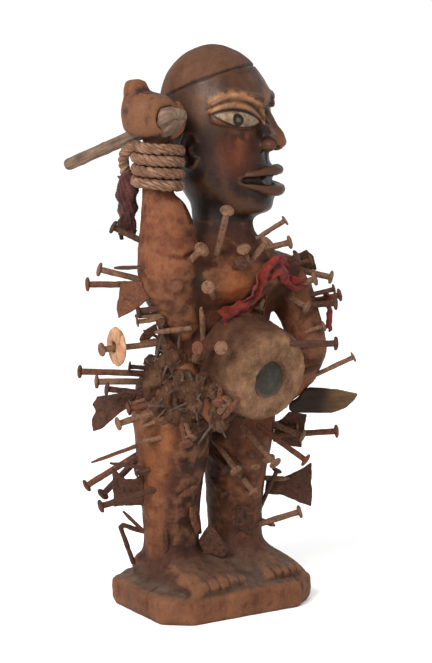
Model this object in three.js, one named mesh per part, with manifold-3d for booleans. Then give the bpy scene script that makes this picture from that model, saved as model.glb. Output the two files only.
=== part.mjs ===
// A standing power figure: carved wood on its own base, a resin pack with a mirror on the belly,
// a raised right arm with a stick, rope and cloth, and nails and blades driven in all over.
// Millimetres, +Z up. The origin is the middle of the underside. The figure faces -Y, its left is +X.

import * as THREE from 'three';
import { mergeVertices } from 'three/addons/utils/BufferGeometryUtils.js';
import Module from 'manifold-3d';

const wasm = await Module();
wasm.setup();

// Driving dimensions

const GAP = 0.3;
const BASE = { wide: 181, deep: 138, high: 28, chamferX: 25, chamferY: 19, edge: 4 };
const TURN = 4;
const HEAD_HEIGHT = 169;
const HEAD = { x: 2, y: 0, z: 394, turn: 32 };
const NECK = { x: 3, y: -12 };
const SHOULDER_Z = 352;
const LEG_SPREAD = 40;
const FIST = { x: -84, y: -14, z: 494, wide: 50, deep: 56, high: 46 };
const WRIST = { x: -75, y: -15, radius: 15.5, low: 420.5, high: 476 };
const ROPE = { thick: 11, pitch: 11.3, turns: 3.6, start: -112, stepsPerTurn: 11 };
const STICK = { back: [-93, 117, 442], front: [-78, -56, 497], thick: 12, tip: 32 };
const PACK = { rimWide: 40, rimHigh: 43, rimX: 3, rimY: -99, rimZ: 243, recess: 4 };
const MIRROR = { x: -1, radius: 18.4, thick: 2.5 };

const NAIL_SIDES = 6;
const BODY_SIDES = 14;
const LIMB_SIDES = 12;

// Solids from three.js geometry

const rad = THREE.MathUtils.degToRad;
const vec = (p) => new THREE.Vector3(...p);

function solid(geometry) {
  const bare = geometry.index ? geometry.toNonIndexed() : geometry.clone();
  bare.deleteAttribute('normal');
  bare.deleteAttribute('uv');
  const merged = mergeVertices(bare, 1e-4);
  const index = merged.index.array;
  const kept = [];
  for (let i = 0; i < index.length; i += 3) {
    const [a, b, c] = [index[i], index[i + 1], index[i + 2]];
    if (a !== b && b !== c && c !== a) kept.push(a, b, c);
  }
  return new wasm.Manifold(new wasm.Mesh({
    numProp: 3,
    vertProperties: new Float32Array(merged.attributes.position.array),
    triVerts: new Uint32Array(kept),
  }));
}

function geometryOf(manifold) {
  const mesh = manifold.getMesh();
  const geometry = new THREE.BufferGeometry();
  geometry.setAttribute('position', new THREE.BufferAttribute(mesh.vertProperties, 3));
  geometry.setIndex(new THREE.BufferAttribute(mesh.triVerts, 1));
  return geometry;
}

const join = (...solids) => solids.reduce((sum, next) => sum.add(next));

// Cuts a piece back from its neighbour, with the gap left on the sides named.

function clearOf(piece, neighbour, sides) {
  return sides.reduce(
    (left, side) => left.subtract(neighbour.translate(side.map((s) => s * GAP))),
    piece,
  );
}

// Rings of a cylinder moved to stations. A station is [centre, half width, half depth].
// A power over 2 makes the ring squarer.

function ringed(count, sides, place) {
  const geometry = new THREE.CylinderGeometry(1, 1, 1, sides, count - 1);
  geometry.rotateX(Math.PI / 2);
  const position = geometry.attributes.position;
  for (let i = 0; i < position.count; i += 1) {
    const station = Math.round((position.getZ(i) + 0.5) * (count - 1));
    const at = place(station, position.getX(i), position.getY(i));
    position.setXYZ(i, at.x, at.y, at.z);
  }
  return solid(geometry);
}

function squared(x, y, power) {
  const size = Math.hypot(x, y);
  if (size < 1e-6) return [0, 0];
  const [cos, sin] = [x / size, y / size];
  const reach = size / (Math.abs(cos) ** power + Math.abs(sin) ** power) ** (1 / power);
  return [cos * reach, sin * reach];
}

function column(stations, { sides = BODY_SIDES, power = 2 } = {}) {
  return ringed(stations.length, sides, (station, x, y) => {
    const [centre, wide, deep] = stations[station];
    const [u, v] = squared(x, y, power);
    return new THREE.Vector3(centre[0] + u * wide, centre[1] + v * deep, centre[2]);
  });
}

function limb(stations, { sides = LIMB_SIDES, power = 2, up = [0, 0, 1] } = {}) {
  const centres = stations.map(([centre]) => vec(centre));
  const frames = centres.map((centre, i) => {
    const before = centres[Math.max(i - 1, 0)];
    const after = centres[Math.min(i + 1, centres.length - 1)];
    const along = after.clone().sub(before).normalize();
    const side = vec(up).cross(along).normalize();
    return { side, over: along.clone().cross(side) };
  });
  return ringed(stations.length, sides, (station, x, y) => {
    const [, wide, deep] = stations[station];
    const [u, v] = squared(x, y, power);
    const { side, over } = frames[station];
    return centres[station].clone().addScaledVector(side, u * wide).addScaledVector(over, v * deep);
  });
}

function ball(centre, [wide, deep, high], segments = 12) {
  const geometry = new THREE.SphereGeometry(1, segments, Math.round(segments * 0.66));
  geometry.rotateX(Math.PI / 2);
  geometry.scale(wide, deep, high);
  geometry.translate(...centre);
  return solid(geometry);
}

function turned(profile, segments) {
  const geometry = new THREE.LatheGeometry(profile.map(([r, z]) => new THREE.Vector2(r, z)), segments);
  geometry.rotateX(Math.PI / 2);
  return geometry;
}

// Places a shape that was made along +Z so that it starts at a point and runs along a direction.

function placed(geometry, start, along, roll = 0) {
  const turn = new THREE.Quaternion().setFromUnitVectors(new THREE.Vector3(0, 0, 1), along);
  geometry.rotateZ(rad(roll));
  geometry.applyQuaternion(turn);
  geometry.translate(start.x, start.y, start.z);
  return geometry;
}

// A direction from a bearing (0 is the figure's front, 90 its left) and an upward pitch.

function heading(bearing, pitch) {
  const flat = Math.cos(rad(pitch));
  return new THREE.Vector3(
    Math.sin(rad(bearing)) * flat,
    -Math.cos(rad(bearing)) * flat,
    Math.sin(rad(pitch)),
  );
}

// Base and feet. The base lies square in the part's frame, and the figure stands turned on it.

function baseSlab() {
  const { wide, deep, high, chamferX, chamferY, edge } = BASE;
  const [x, y] = [wide / 2 - edge, deep / 2 - edge];
  const outline = new THREE.Shape();
  outline.moveTo(-x + chamferX, -y);
  outline.lineTo(x - chamferX, -y);
  outline.lineTo(x, -y + chamferY);
  outline.lineTo(x, y - chamferY);
  outline.lineTo(x - chamferX, y);
  outline.lineTo(-x + chamferX, y);
  outline.lineTo(-x, y - chamferY);
  outline.lineTo(-x, -y + chamferY);
  const slab = new THREE.ExtrudeGeometry(outline, {
    depth: high - 2 * edge, bevelEnabled: true, bevelSize: edge, bevelThickness: edge, bevelSegments: 2,
  });
  slab.translate(0, 0, edge);
  slab.rotateZ(rad(-TURN));
  return solid(slab);
}

function mound() {
  return column([
    [[0, 0, BASE.high - 6], 82, 62],
    [[0, 0, BASE.high + 2], 79, 59],
    [[-4, 4, BASE.high + 9], 68, 50],
    [[-6, 8, BASE.high + 18], 54, 36],
    [[-6, 12, BASE.high + 28], 40, 22],
  ], { sides: 12, power: 3 });
}

// A foot station is [distance behind the middle, sideways place, half width, top height].

const FEET = {
  right: [
    [54, -44, 20, 46], [44, -43, 27, 54], [24, -41, 31, 62], [2, -37, 34, 60],
    [-20, -33, 38, 53], [-42, -29, 41, 46], [-60, -27, 38, 38],
  ],
  left: [
    [48, 38, 16, 48], [38, 39, 25, 56], [20, 41, 29, 62], [0, 44, 30, 59],
    [-22, 47, 31, 52], [-42, 49, 32, 45], [-60, 50, 29, 38],
  ],
};

function foot(side) {
  const floor = BASE.high - 6;
  const stations = FEET[side].map(
    ([y, x, wide, top]) => [[x, y, (floor + top) / 2], wide, (top - floor) / 2],
  );
  const [[, toeX, toeWide]] = FEET[side].slice(-1);
  const toes = 5;
  const grooves = Array.from({ length: toes - 1 }, (_, i) => {
    const groove = new THREE.CylinderGeometry(2.4, 1.2, 30, 4);
    groove.rotateX(rad(12));
    groove.translate(toeX + ((i + 1) / toes - 0.5) * 1.7 * toeWide, -55, 45.5);
    return solid(groove);
  });
  const whole = limb(stations, { sides: 8, power: 2.6 });
  return grooves.reduce((left, groove) => left.subtract(groove), whole);
}

function leg(side) {
  const x = side * LEG_SPREAD;
  return column([
    [[x, 14, 48], 29, 31],
    [[x, 14, 66], 28, 29],
    [[x, 15, 94], 29, 31],
    [[x, 14, 130], 32, 35],
    [[x, 11, 170], 38, 40],
    [[x * 1.02, 13, 200], 40, 45],
    [[x * 0.95, 12, 222], 36, 42],
    [[x * 0.8, 8, 244], 30, 36],
  ]);
}

// Trunk, neck and head

function trunk() {
  return column([
    [[0, 12, 182], 48, 34],
    [[0, 10, 200], 65, 44],
    [[0, 6, 222], 65, 46],
    [[0, -4, 252], 58, 43],
    [[0, -12, 288], 58, 38],
    [[0, -15, 310], 59, 37],
    [[0, -20, 321], 64, 43],
    [[1, -24, 332], 68, 48],
    [[2, -25, SHOULDER_Z - 6], 67, 48],
    [[2, -23, SHOULDER_Z + 8], 52, 42],
    [[3, -20, SHOULDER_Z + 18], 38, 35],
    [[3, -18, SHOULDER_Z + 26], 31, 31],
  ]);
}

function flankRidge() {
  return limb([
    [[-46, 6, 298], 12, 8],
    [[-53, -12, 272], 17, 9],
    [[-50, -34, 244], 18, 10],
    [[-42, -48, 216], 16, 9],
    [[-34, -54, 196], 9, 7],
  ], { sides: 8, power: 3 });
}

function loin(side) {
  return ball([side * 38, 34, 214], [31, 27, 32], 8);
}

function neck() {
  return column([
    [[NECK.x, NECK.y - 6, SHOULDER_Z + 12], 36, 34],
    [[NECK.x, NECK.y - 4, SHOULDER_Z + 26], 31, 31],
    [[NECK.x, NECK.y, 398], 30, 30],
    [[NECK.x, NECK.y + 4, 440], 31, 33],
  ], { sides: LIMB_SIDES });
}

// The head is made facing -Y over the origin, then turned. Heights count from the underside of the jaw.
// A station is [height, front, back, half width].

const SKULL = [
  [0, 40, 0, 22],
  [6, 61, 14, 31],
  [18, 62, 26, 38],
  [35, 58, 36, 43],
  [58, 56, 44, 47],
  [82, 53, 49, 49],
  [102, 54, 52, 50],
  [118, 60, 52, 50],
  [136, 50, 47, 46],
  [150, 38, 38, 39],
  [160, 26, 27, 28],
  [HEAD_HEIGHT, 6, 8, 8],
];
const CAP_RIM = { z: 134, slope: 22, proud: 1.6 };
const MOUTH = {
  corner: 40, half: 33, upper: [47, 67, 7], lower: [27, 70, 7.5], cornerUpper: 40, cornerLower: 36,
};

function skullAbove(lowest, grow) {
  const stations = SKULL.filter(([z]) => z >= lowest).map(([z, front, back, wide]) => [
    [0, (back - front) / 2, z], wide + grow, (front + back) / 2 + grow,
  ]);
  return column(stations, { sides: BODY_SIDES + 2, power: 2.15 });
}

function cap() {
  const above = new THREE.BoxGeometry(200, 200, 100);
  above.translate(0, 0, 50);
  above.rotateX(rad(-CAP_RIM.slope));
  above.translate(0, 0, CAP_RIM.z);
  return skullAbove(100, CAP_RIM.proud).intersect(solid(above));
}

function nose() {
  return join(
    limb([
      [[0, -50, 108], 6, 6],
      [[0, -56, 95], 7, 7],
      [[0, -62, 83], 8, 8],
      [[0, -67, 75], 10, 8],
    ], { sides: 6, up: [1, 0, 0] }),
    ball([0, -69, 74], [8, 8, 7], 7),
    ...[-1, 1].map((side) => ball([side * 11, -61, 71], [7, 9, 7], 6)),
  );
}

// A lip bows forward between the corners of the mouth and thins towards them.

function lip([middle, front, thick], corner) {
  const steps = 6;
  const stations = Array.from({ length: steps + 1 }, (_, i) => {
    const across = (i / steps) * 2 - 1;
    const bow = 1 - Math.abs(across) ** 2.2;
    const forward = MOUTH.corner + (front - MOUTH.corner) * bow;
    const high = corner + (middle - corner) * bow;
    return [[across * MOUTH.half, -forward, high], 2 + 5 * bow, thick * (0.3 + 0.7 * bow)];
  });
  return limb(stations, { sides: 6 });
}

// Brow ridges and the rim of an ear are bent bars.

function browRidge(side, lift) {
  const steps = 5;
  return limb(Array.from({ length: steps + 1 }, (_, i) => {
    const angle = rad(14 + 60 * i / steps);
    const rise = 9 * Math.sin(Math.PI * i / steps) - 5 * i / steps;
    return [[side * 52 * Math.sin(angle), -3 - 57 * Math.cos(angle), 109 + lift + rise], 2, 2.8];
  }), { sides: 4 });
}

function ear(side) {
  const steps = 6;
  return limb(Array.from({ length: steps + 1 }, (_, i) => {
    const angle = rad(-150 + 300 * i / steps);
    return [[side * 46.5, 5 + 8 * Math.cos(angle), 67 + 16 * Math.sin(angle)], 3.2, 4];
  }), { sides: 4, up: [1, 0, 0] });
}

function eye(side) {
  return ball([0, 0, 0], [24, 8, 8.5], 8).rotate([0, 0, side * 43]).translate([side * 32, -37.5, 98]);
}

function head() {
  const features = [-1, 1].flatMap((side) => [eye(side), ear(side), browRidge(side, 0), browRidge(side, 6)]);
  const mouth = [lip(MOUTH.upper, MOUTH.cornerUpper), lip(MOUTH.lower, MOUTH.cornerLower)];
  return join(skullAbove(0, 0), cap(), nose(), ...mouth, ...features)
    .rotate([0, 0, HEAD.turn]).translate([HEAD.x, HEAD.y, HEAD.z]);
}

// Arms

function raisedArm() {
  return column([
    [[-38, -12, 262], 12, 16],
    [[-47, -15, 284], 22, 26],
    [[-56, -19, 306], 26, 29],
    [[-63, -21, 326], 31, 32],
    [[-66, -22, 346], 32, 33],
    [[-66, -21, 368], 32, 32],
    [[-67, -20, 378], 28.5, 29],
    [[-68, -19, 396], 26, 26.5],
    [[-70, -18, 410], 22, 22],
    [[-72, -17, WRIST.low - 5], 20, 20],
    [[WRIST.x, WRIST.y, WRIST.low - 1], WRIST.radius, WRIST.radius],
    [[WRIST.x, WRIST.y, WRIST.high], WRIST.radius, WRIST.radius],
    [[-77, -16, WRIST.high + 6], 18, 18],
  ], { sides: LIMB_SIDES });
}

function fist() {
  const { x, y, z, wide, deep, high } = FIST;
  const palm = column([
    [[x + 2, y, z - high * 0.38], wide * 0.4, deep * 0.4],
    [[x, y, z - high / 5], wide * 0.5, deep * 0.5],
    [[x, y, z + high / 8], wide * 0.5, deep * 0.5],
    [[x, y + 2, z + high / 3], wide * 0.46, deep * 0.45],
    [[x - 1, y + 4, z + high / 2], wide * 0.34, deep * 0.32],
  ], { sides: LIMB_SIDES, power: 2.6 });
  const fingers = 4;
  const knuckles = Array.from({ length: fingers }, (_, i) => ball(
    [x + wide * 0.4, y - deep * 0.34 + i * 13, z - 5 + i * 1.5], [8, 7.5, 11], 6,
  ));
  const stub = column([
    [[x - 7, y + 10, z + 12], 12, 12],
    [[x - 8, y + 11, z + 24], 12, 12],
    [[x - 7, y + 12, z + 36], 10, 10],
  ], { sides: 8, power: 5 });
  const ring = limb([
    [[x + 1, y - 12, z], 18, 18],
    [[x + 2, y - 26, z + 2], 17.5, 17.5],
    [[x + 2, y - 31, z + 3], 15.5, 15.5],
  ], { sides: 10 });
  return join(palm, stub, ring, ...knuckles);
}

function loweredArm() {
  return join(
    limb([
      [[46, -20, 346], 16, 16],
      [[62, -28, 336], 24, 22],
      [[72, -38, 314], 24, 24],
      [[79, -45, 286], 21, 21],
      [[86, -50, 260], 20, 20],
      [[87, -50, 244], 14, 14],
    ], { sides: 10, up: [0, 1, 0] }),
    limb([
      [[90, -50, 256], 13, 13],
      [[78, -50, 238], 18, 17],
      [[62, -44, 220], 16, 15],
      [[50, -36, 208], 18, 12],
      [[42, -28, 202], 12, 8],
    ], { sides: 10 }),
  );
}

function figureSolid() {
  return join(
    baseSlab(), mound(), foot('right'), foot('left'), leg(-1), leg(1),
    trunk(), flankRidge(), loin(-1), loin(1), neck(), head(),
    raisedArm(), fist(), loweredArm(),
  );
}

// The pack on the belly, with a rim round the mirror

function packSolid(body) {
  const { rimWide, rimHigh, rimX, rimY, rimZ, recess } = PACK;
  const cone = limb([
    [[0, -12, 258], 42, 52],
    [[0, -40, 255], 46, 53],
    [[1, -66, 250], 44, 50],
    [[2, -88, 246], rimWide + 3, rimHigh + 4],
    [[rimX, rimY + 4, rimZ + 1], rimWide, rimHigh + 1],
    [[rimX, rimY, rimZ], rimWide - 3, rimHigh - 3],
  ], { sides: 18 });
  const wellRadius = MIRROR.radius + GAP;
  const well = new THREE.CylinderGeometry(wellRadius, wellRadius, 2 * (recess + MIRROR.thick), 20);
  well.translate(MIRROR.x, rimY, rimZ);
  return clearOf(cone, body, [[0, -1, 0], [1, 0, 0], [-1, 0, 0]]).subtract(solid(well));
}

function mirrorSolid() {
  const glass = new THREE.CylinderGeometry(MIRROR.radius - GAP, MIRROR.radius - GAP, MIRROR.thick, 20);
  glass.translate(MIRROR.x, PACK.rimY + PACK.recess + MIRROR.thick / 2 - GAP, PACK.rimZ);
  return solid(glass);
}

// The stick in the fist

function stickSolid(grow = 0) {
  const [back, front] = [vec(STICK.back), vec(STICK.front)];
  const at = (share) => back.clone().lerp(front, share).toArray();
  const thick = STICK.thick / 2 + grow;
  const tip = STICK.tip / 2 + grow;
  return limb([
    [at(0 - grow / 100), thick * 0.6, thick * 0.6],
    [at(0.02), thick, thick],
    [at(0.3), thick, thick],
    [at(0.62), thick * 1.2, thick * 1.1],
    [at(0.82), tip * 0.8, tip * 0.65],
    [at(0.93), tip, tip * 0.75],
    [at(1 + grow / 100), tip * 0.75, tip * 0.5],
  ], { sides: 8 });
}

// The rope round the wrist: a tail that hangs outside rises to the top turn, and the helix runs down.

const ROPE_TAIL = [[34, -154, 420], [34, -154, 432], [35, -150, 443], [34, -141, 455], [29, -127, 463]];

function ropeSolid(grow = 0) {
  const { x, y, radius, low } = WRIST;
  const round = (reach, bearing, z) => {
    const out = heading(bearing, 0).multiplyScalar(reach);
    return new THREE.Vector3(x + out.x, y + out.y, z);
  };
  const half = ROPE.thick / 2;
  const reach = (radius + half + GAP) / Math.cos(Math.PI / ROPE.stepsPerTurn);
  const steps = Math.round(ROPE.turns * ROPE.stepsPerTurn);
  const wound = Array.from({ length: steps }, (_, i) => {
    const turns = i / ROPE.stepsPerTurn;
    const rise = ROPE.pitch * (ROPE.turns - turns);
    return round(reach, ROPE.start + 360 * turns, low + half + GAP + rise);
  });
  const route = new THREE.CatmullRomCurve3([...ROPE_TAIL.map((p) => round(...p)), ...wound]);
  const section = new THREE.Shape();
  section.absarc(0, 0, half + grow, 0, 2 * Math.PI);
  return solid(new THREE.ExtrudeGeometry(section, {
    steps: steps + 10, bevelEnabled: false, curveSegments: 3, extrudePath: route,
  }));
}

// The knitted bundle knotted on the rope's tail, and a flat bar of cloth along a route

function bundleSolid(rope) {
  const main = column([
    [[-90, 15, 442], 6, 6],
    [[-90, 15, 433], 10, 9],
    [[-91, 15, 414], 11, 10],
    [[-91, 15, 396], 10, 9],
    [[-91, 15, 384], 8, 7],
  ].reverse(), { sides: 8 });
  const tail = (x, y, low) => column([
    [[x, y, low], 3, 3],
    [[x, y, low + 8], 5, 4],
    [[(x - 91) / 2, 15, 388], 5, 5],
  ], { sides: 6 });
  return join(main, tail(-95, 19, 373), tail(-87, 12, 376)).subtract(rope);
}

function ribbon(route, half, thick, up) {
  return limb(route.map((p) => [p, half, thick]), { sides: 6, power: 3, up });
}

// Nails. Each stands at a point on the wood, on a bearing and a pitch, and stands out by a length.
// A wire nail has a flat round head and a forged one a thick head. A peg is a pointed stick, and a
// spike a square rod with no head.

const NAIL_KINDS = {
  wire: { shank: 2.4, head: 5.2, headThick: 2.2 },
  forged: { shank: 3.2, head: 6.4, headThick: 3.4 },
  peg: { shank: 2.8, point: 1.2, pointLong: 5 },
  spike: { shank: 2.6, point: 1.8, pointLong: 3 },
};
const BURIED = 8;

const NAILS = {
  shoulder: [
    [-94, -12, 337, -126, 12, 43],
    [-93, -9, 331, -121, 0, 52],
    [-98, -21, 351, -126, -2, 27, 'peg'],
    [-92, -7, 373, -126, 24, 31],
    [-65, -54, 357, 0, 26, 24, 'forged'],
  ],
  waist: [
    [-79, -24, 303, -112, -11, 24, 'forged'],
    [-67, -8, 277, -98, -1, 66],
    [-38, -62, 277, -75, 10, 30, 'forged'],
  ],
  hip: [
    [-59, 31, 238, -131, 2, 69],
    [-67, 19, 232, -126, 1, 51],
    [-74, 4, 222, -116, 10, 43],
    [-71, -12, 208, -105, -12, 46],
    [-40, -60, 204, -9, 30, 30, 'forged'],
    [-54, -29, 197, -19, -36, 27, 'forged'],
  ],
  thigh: [
    [-74, 27, 166, -142, -22, 52, 'spike'],
    [-69, 33, 158, -126, -31, 64],
    [-73, 27, 153, -140, -45, 57],
    [-75, 12, 146, -116, 9, 34, 'spike'],
    [4, 3, 166, 1, -36, 43, 'forged'],
  ],
  shin: [
    [-68, 0, 126, -106, -13, 60],
    [24, -15, 127, 8, -26, 26, 'forged'],
    [49, -13, 74, 54, 16, 47],
  ],
  chest: [
    [-34, -54, 359, -23, 49, 62, 'forged'],
    [19, -46, 373, 54, 33, 36, 'spike'],
    [22, -53, 365, 54, 19, 30],
    [-3, -68, 352, 23, 49, 30],
    [-37, -54, 320, -45, 18, 30, 'forged'],
  ],
  left_arm: [
    [82, -39, 340, 54, -9, 34],
    [92, -52, 309, 54, 13, 26, 'forged'],
  ],
  pack: [
    [16, -107, 281, 54, 1, 46],
  ],
  back: [
    [-16, 20, 318, 168, 12, 38],
    [20, 26, 276, 150, -6, 44, 'forged'],
    [30, 54, 196, 170, -14, 46],
    [-34, 52, 128, 178, 4, 40, 'forged'],
  ],
  left_hip: [
    [74, -56, 228, 54, 24, 56, 'spike'],
    [54, -20, 165, 54, 3, 74],
    [19, -23, 187, 9, -35, 59, 'forged'],
    [36, -29, 183, 36, -33, 62, 'forged'],
  ],
};

// The nail that was knocked over: it rises from the wood, folds back and runs down.

const BENT_NAIL = { at: [-61, 33, 74], bearing: -126, pitch: 19, rise: 26, bend: 3, fold: -128, down: 44 };

function nailPlace([x, y, z, bearing, pitch]) {
  return { start: new THREE.Vector3(x, y, z), along: heading(bearing, pitch) };
}

function nailSolid(nail) {
  const [, , , , , out, kind = 'wire'] = nail;
  const { shank, head, headThick, point, pointLong } = NAIL_KINDS[kind];
  const sides = kind === 'spike' ? 4 : NAIL_SIDES;
  const neck = out - (point ? pointLong : headThick);
  const end = point ? [[point, out]] : [[head, neck], [head, out]];
  const profile = [[0, -BURIED], [shank, -BURIED], [shank, neck], ...end, [0, out]];
  const { start, along } = nailPlace(nail);
  return solid(placed(turned(profile, sides), start, along, out * 7));
}

// The way cleared for a nail's shank where it passes through cloth.

function nailHole(nail) {
  const [, , , , , out, kind = 'wire'] = nail;
  const radius = (NAIL_KINDS[kind].shank + GAP) / Math.cos(Math.PI / NAIL_SIDES);
  const low = -BURIED - GAP;
  const { start, along } = nailPlace(nail);
  return solid(placed(turned([[0, low], [radius, low], [radius, out], [0, out]], NAIL_SIDES), start, along));
}

function bentNailSolid() {
  const { at, bearing, pitch, rise, bend, fold, down } = BENT_NAIL;
  const start = vec(at);
  const along = heading(bearing, pitch);
  const back = along.clone().applyAxisAngle(heading(bearing - 90, 0), rad(fold));
  const corner = start.clone().addScaledVector(along, rise);
  const { shank } = NAIL_KINDS.wire;
  const point = (from, way, distance) => from.clone().addScaledVector(way, distance).toArray();
  return limb([
    [point(start, along, -BURIED), shank, shank],
    [point(corner, along, -bend), shank, shank],
    [point(corner, back, bend), shank, shank],
    [point(corner, back, down), shank, shank],
  ], { sides: NAIL_SIDES, up: heading(bearing - 90, 0).toArray() });
}

// Iron plates and blades, each driven in by its edge. An outline runs [outwards, upwards] from its point
// on the wood. roll turns the plate about its own length.

const BLADES = {
  blade_shoulder: {
    at: [-93, -22, 328], bearing: -126, pitch: 0, roll: 8, thick: 2.4,
    outline: [[-7, -3], [1, -10], [20, -23], [27, -27], [29, -18], [27, -2], [24, 10], [2, 9], [-7, 3]],
  },
  blade_waist: {
    at: [-70, -4, 286], bearing: -126, pitch: 0, roll: -14, thick: 2,
    outline: [[-6, -3], [0, -4], [9, -12], [15, -17], [17, -9], [10, 2], [0, 6], [-6, 3]],
  },
  blade_hip: {
    at: [-72, 25, 216], bearing: -130, pitch: 0, roll: 10, thick: 2.6,
    outline: [
      [-7, -6], [6, -9], [18, -18], [35, -32], [45, -36], [46, -24],
      [42, -16], [46, -9], [41, -1], [13, 4], [-7, 3],
    ],
  },
  plate_knee: {
    at: [-70, 18, 122], bearing: -126, pitch: 0, roll: -12, thick: 2.6,
    outline: [[-6, -14], [0, -18], [19, -18], [31, -20], [32, 25], [19, 12], [9, 12], [2, 18], [-6, 15]],
  },
  blade_left_shoulder: {
    at: [84, -30, 344], bearing: 60, pitch: 0, roll: 16, thick: 2.4,
    outline: [[-8, -4], [8, -6], [20, -8], [18, 6], [10, 14], [-8, 6]],
  },
  horn_blade: {
    at: [68, -54, 209], bearing: 54, pitch: 0, roll: 0, thick: 8,
    outline: [
      [-9, -11], [0, -13], [34, -13], [48, -8], [56, 0],
      [60, 6], [40, 10], [20, 12], [0, 13], [-9, 12],
    ],
  },
  blade_left_hip: {
    at: [70, -20, 176], bearing: 56, pitch: 0, roll: 22, thick: 2.4,
    outline: [[-12, -16], [6, -24], [24, -26], [27, -4], [28, 14], [10, 18], [0, 6], [-12, 2]],
  },
  blade_left_knee: {
    at: [68, -7, 111], bearing: 54, pitch: 0, roll: -10, thick: 2.6,
    outline: [
      [-12, -5], [0, -8], [14, -9], [30, -16], [44, -21],
      [44, 24], [24, 14], [12, 9], [0, 8], [-12, 5],
    ],
  },
  blade_shin: {
    at: [-32, -18, 84], bearing: -60, pitch: 62, roll: 0, thick: 2.2,
    outline: [[-6, -4], [6, -6], [22, -4], [28, 0], [22, 5], [4, 6], [-6, 4]],
  },
  blade_instep: {
    at: [-9, -18, 57], bearing: -36, pitch: 84, roll: 90, thick: 2.2,
    outline: [[-8, -8], [2, -15], [12, -8], [29, 6], [10, 17], [-1, 13], [-8, 8]],
  },
  plate_ankle: {
    at: [31, -14, 73], bearing: -30, pitch: 70, roll: 90, thick: 2.2,
    outline: [[-8, -8], [0, -9], [26, -10], [26, 8], [0, 9], [-8, 8]],
  },
};

function bladeSolid({ at, bearing, pitch, roll, thick, outline }) {
  const shape = new THREE.Shape(outline.map(([out, up]) => new THREE.Vector2(out, up)));
  const geometry = new THREE.ExtrudeGeometry(shape, { depth: thick, bevelEnabled: false });
  geometry.translate(0, 0, -thick / 2);
  geometry.rotateX(rad(roll));
  const along = heading(bearing, pitch);
  const over = heading(bearing, pitch + 90);
  geometry.applyMatrix4(new THREE.Matrix4().makeBasis(along, over, along.clone().cross(over)));
  geometry.translate(...at);
  return solid(geometry);
}

// The red rags: one lies over the chest and the shoulder, one hangs on a nail of the left arm

const RAGS = {
  red_rag: {
    half: 7, thick: 3, across: [],
    route: [
      [-30, -58, 299], [-16, -61, 304], [-2, -62, 312], [2, -73, 326], [5, -79, 340],
      [19, -78, 349], [34, -73, 347], [46, -64, 333], [58, -64, 328], [69, -64, 331],
    ],
  },
  red_rag_tail: {
    half: 3.5, thick: 7, across: [NAILS.left_arm[1]],
    route: [[98, -58, 316], [101, -60, 306], [102, -61, 296], [101, -60, 286], [102, -59, 278]],
  },
};

// The pale disc that hangs on a nail at the waist

const DISC = { radius: 19.5, thick: 7, hole: 5.6, along: 48, nail: NAILS.waist[1] };

function discSolid() {
  const { radius, thick, hole, along, nail } = DISC;
  const half = thick / 2;
  const profile = [
    [hole, -half], [radius * 0.7, -half], [radius, -half * 0.3], [radius, half * 0.3],
    [radius * 0.7, half], [hole, half], [hole, -half],
  ];
  const place = nailPlace(nail);
  const middle = place.start.clone().addScaledVector(place.along, along);
  middle.z -= hole - NAIL_KINDS.wire.shank - GAP;
  return solid(placed(turned(profile, 12), middle, place.along));
}

const material = (colour, roughness, metalness = 0) => new THREE.MeshStandardMaterial({
  color: colour, roughness, metalness,
});

const COLOURS = {
  wood: ['#82553c', 0.8],
  resin: ['#8a6448', 0.95],
  glass: ['#3c4640', 0.15],
  stick: ['#8c6e55', 0.8],
  rope: ['#96644a', 0.95],
  red: ['#7d3026', 0.95],
  dark: ['#4b2326', 0.95],
  iron: ['#5f3d2d', 0.85, 0.4],
  horn: ['#4a3a24', 0.4],
  bone: ['#c8966e', 0.7],
};

const figure = new THREE.Group();
figure.rotation.z = rad(TURN);

function add(name, manifold, colour) {
  const mesh = new THREE.Mesh(geometryOf(manifold), material(...COLOURS[colour]));
  mesh.name = name;
  figure.add(mesh);
}

// What is driven in starts at the wood: the buried end is cut off by the body, moved out by the gap.

const carving = figureSolid();
const pack = packSolid(carving);
const ground = join(carving, pack);

function drivenIn(piece, bearing, pitch) {
  const shift = heading(bearing, pitch).multiplyScalar(GAP).toArray();
  return piece.subtract(ground.translate(shift));
}

add('figure', carving.subtract(stickSolid(GAP)), 'wood');
add('belly_pack', pack, 'resin');
add('mirror', mirrorSolid(), 'glass');
add('stick', stickSolid(), 'stick');
add('wrist_rope', ropeSolid(), 'rope');
add('cloth_bundle', bundleSolid(ropeSolid(GAP)), 'dark');
add('disc', discSolid(), 'bone');

for (const [place, list] of Object.entries(NAILS)) {
  list.forEach((nail, i) => {
    const [, , , bearing, pitch] = nail;
    add(`nail_${place}_${i + 1}`, drivenIn(nailSolid(nail), bearing, pitch), 'iron');
  });
}
add('nail_bent', drivenIn(bentNailSolid(), BENT_NAIL.bearing, BENT_NAIL.pitch), 'iron');
for (const [name, blade] of Object.entries(BLADES)) {
  add(name, drivenIn(bladeSolid(blade), blade.bearing, blade.pitch), name === 'horn_blade' ? 'horn' : 'iron');
}
for (const [name, { route, half, thick, across }] of Object.entries(RAGS)) {
  const bar = ribbon(route, half, thick, [0, -1, 0]);
  const held = across.reduce((left, nail) => left.subtract(nailHole(nail)), bar);
  add(name, clearOf(held, ground, [[-0.7, -0.7, 0], [0, -0.7, 0.7]]), 'red');
}

export default figure;
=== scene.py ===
import itertools
import math
import random

import bpy
import numpy as np
from bpy.props import FloatProperty, FloatVectorProperty, IntProperty, PointerProperty
from mathutils import Matrix, Vector
from mathutils.bvhtree import BVHTree


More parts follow.
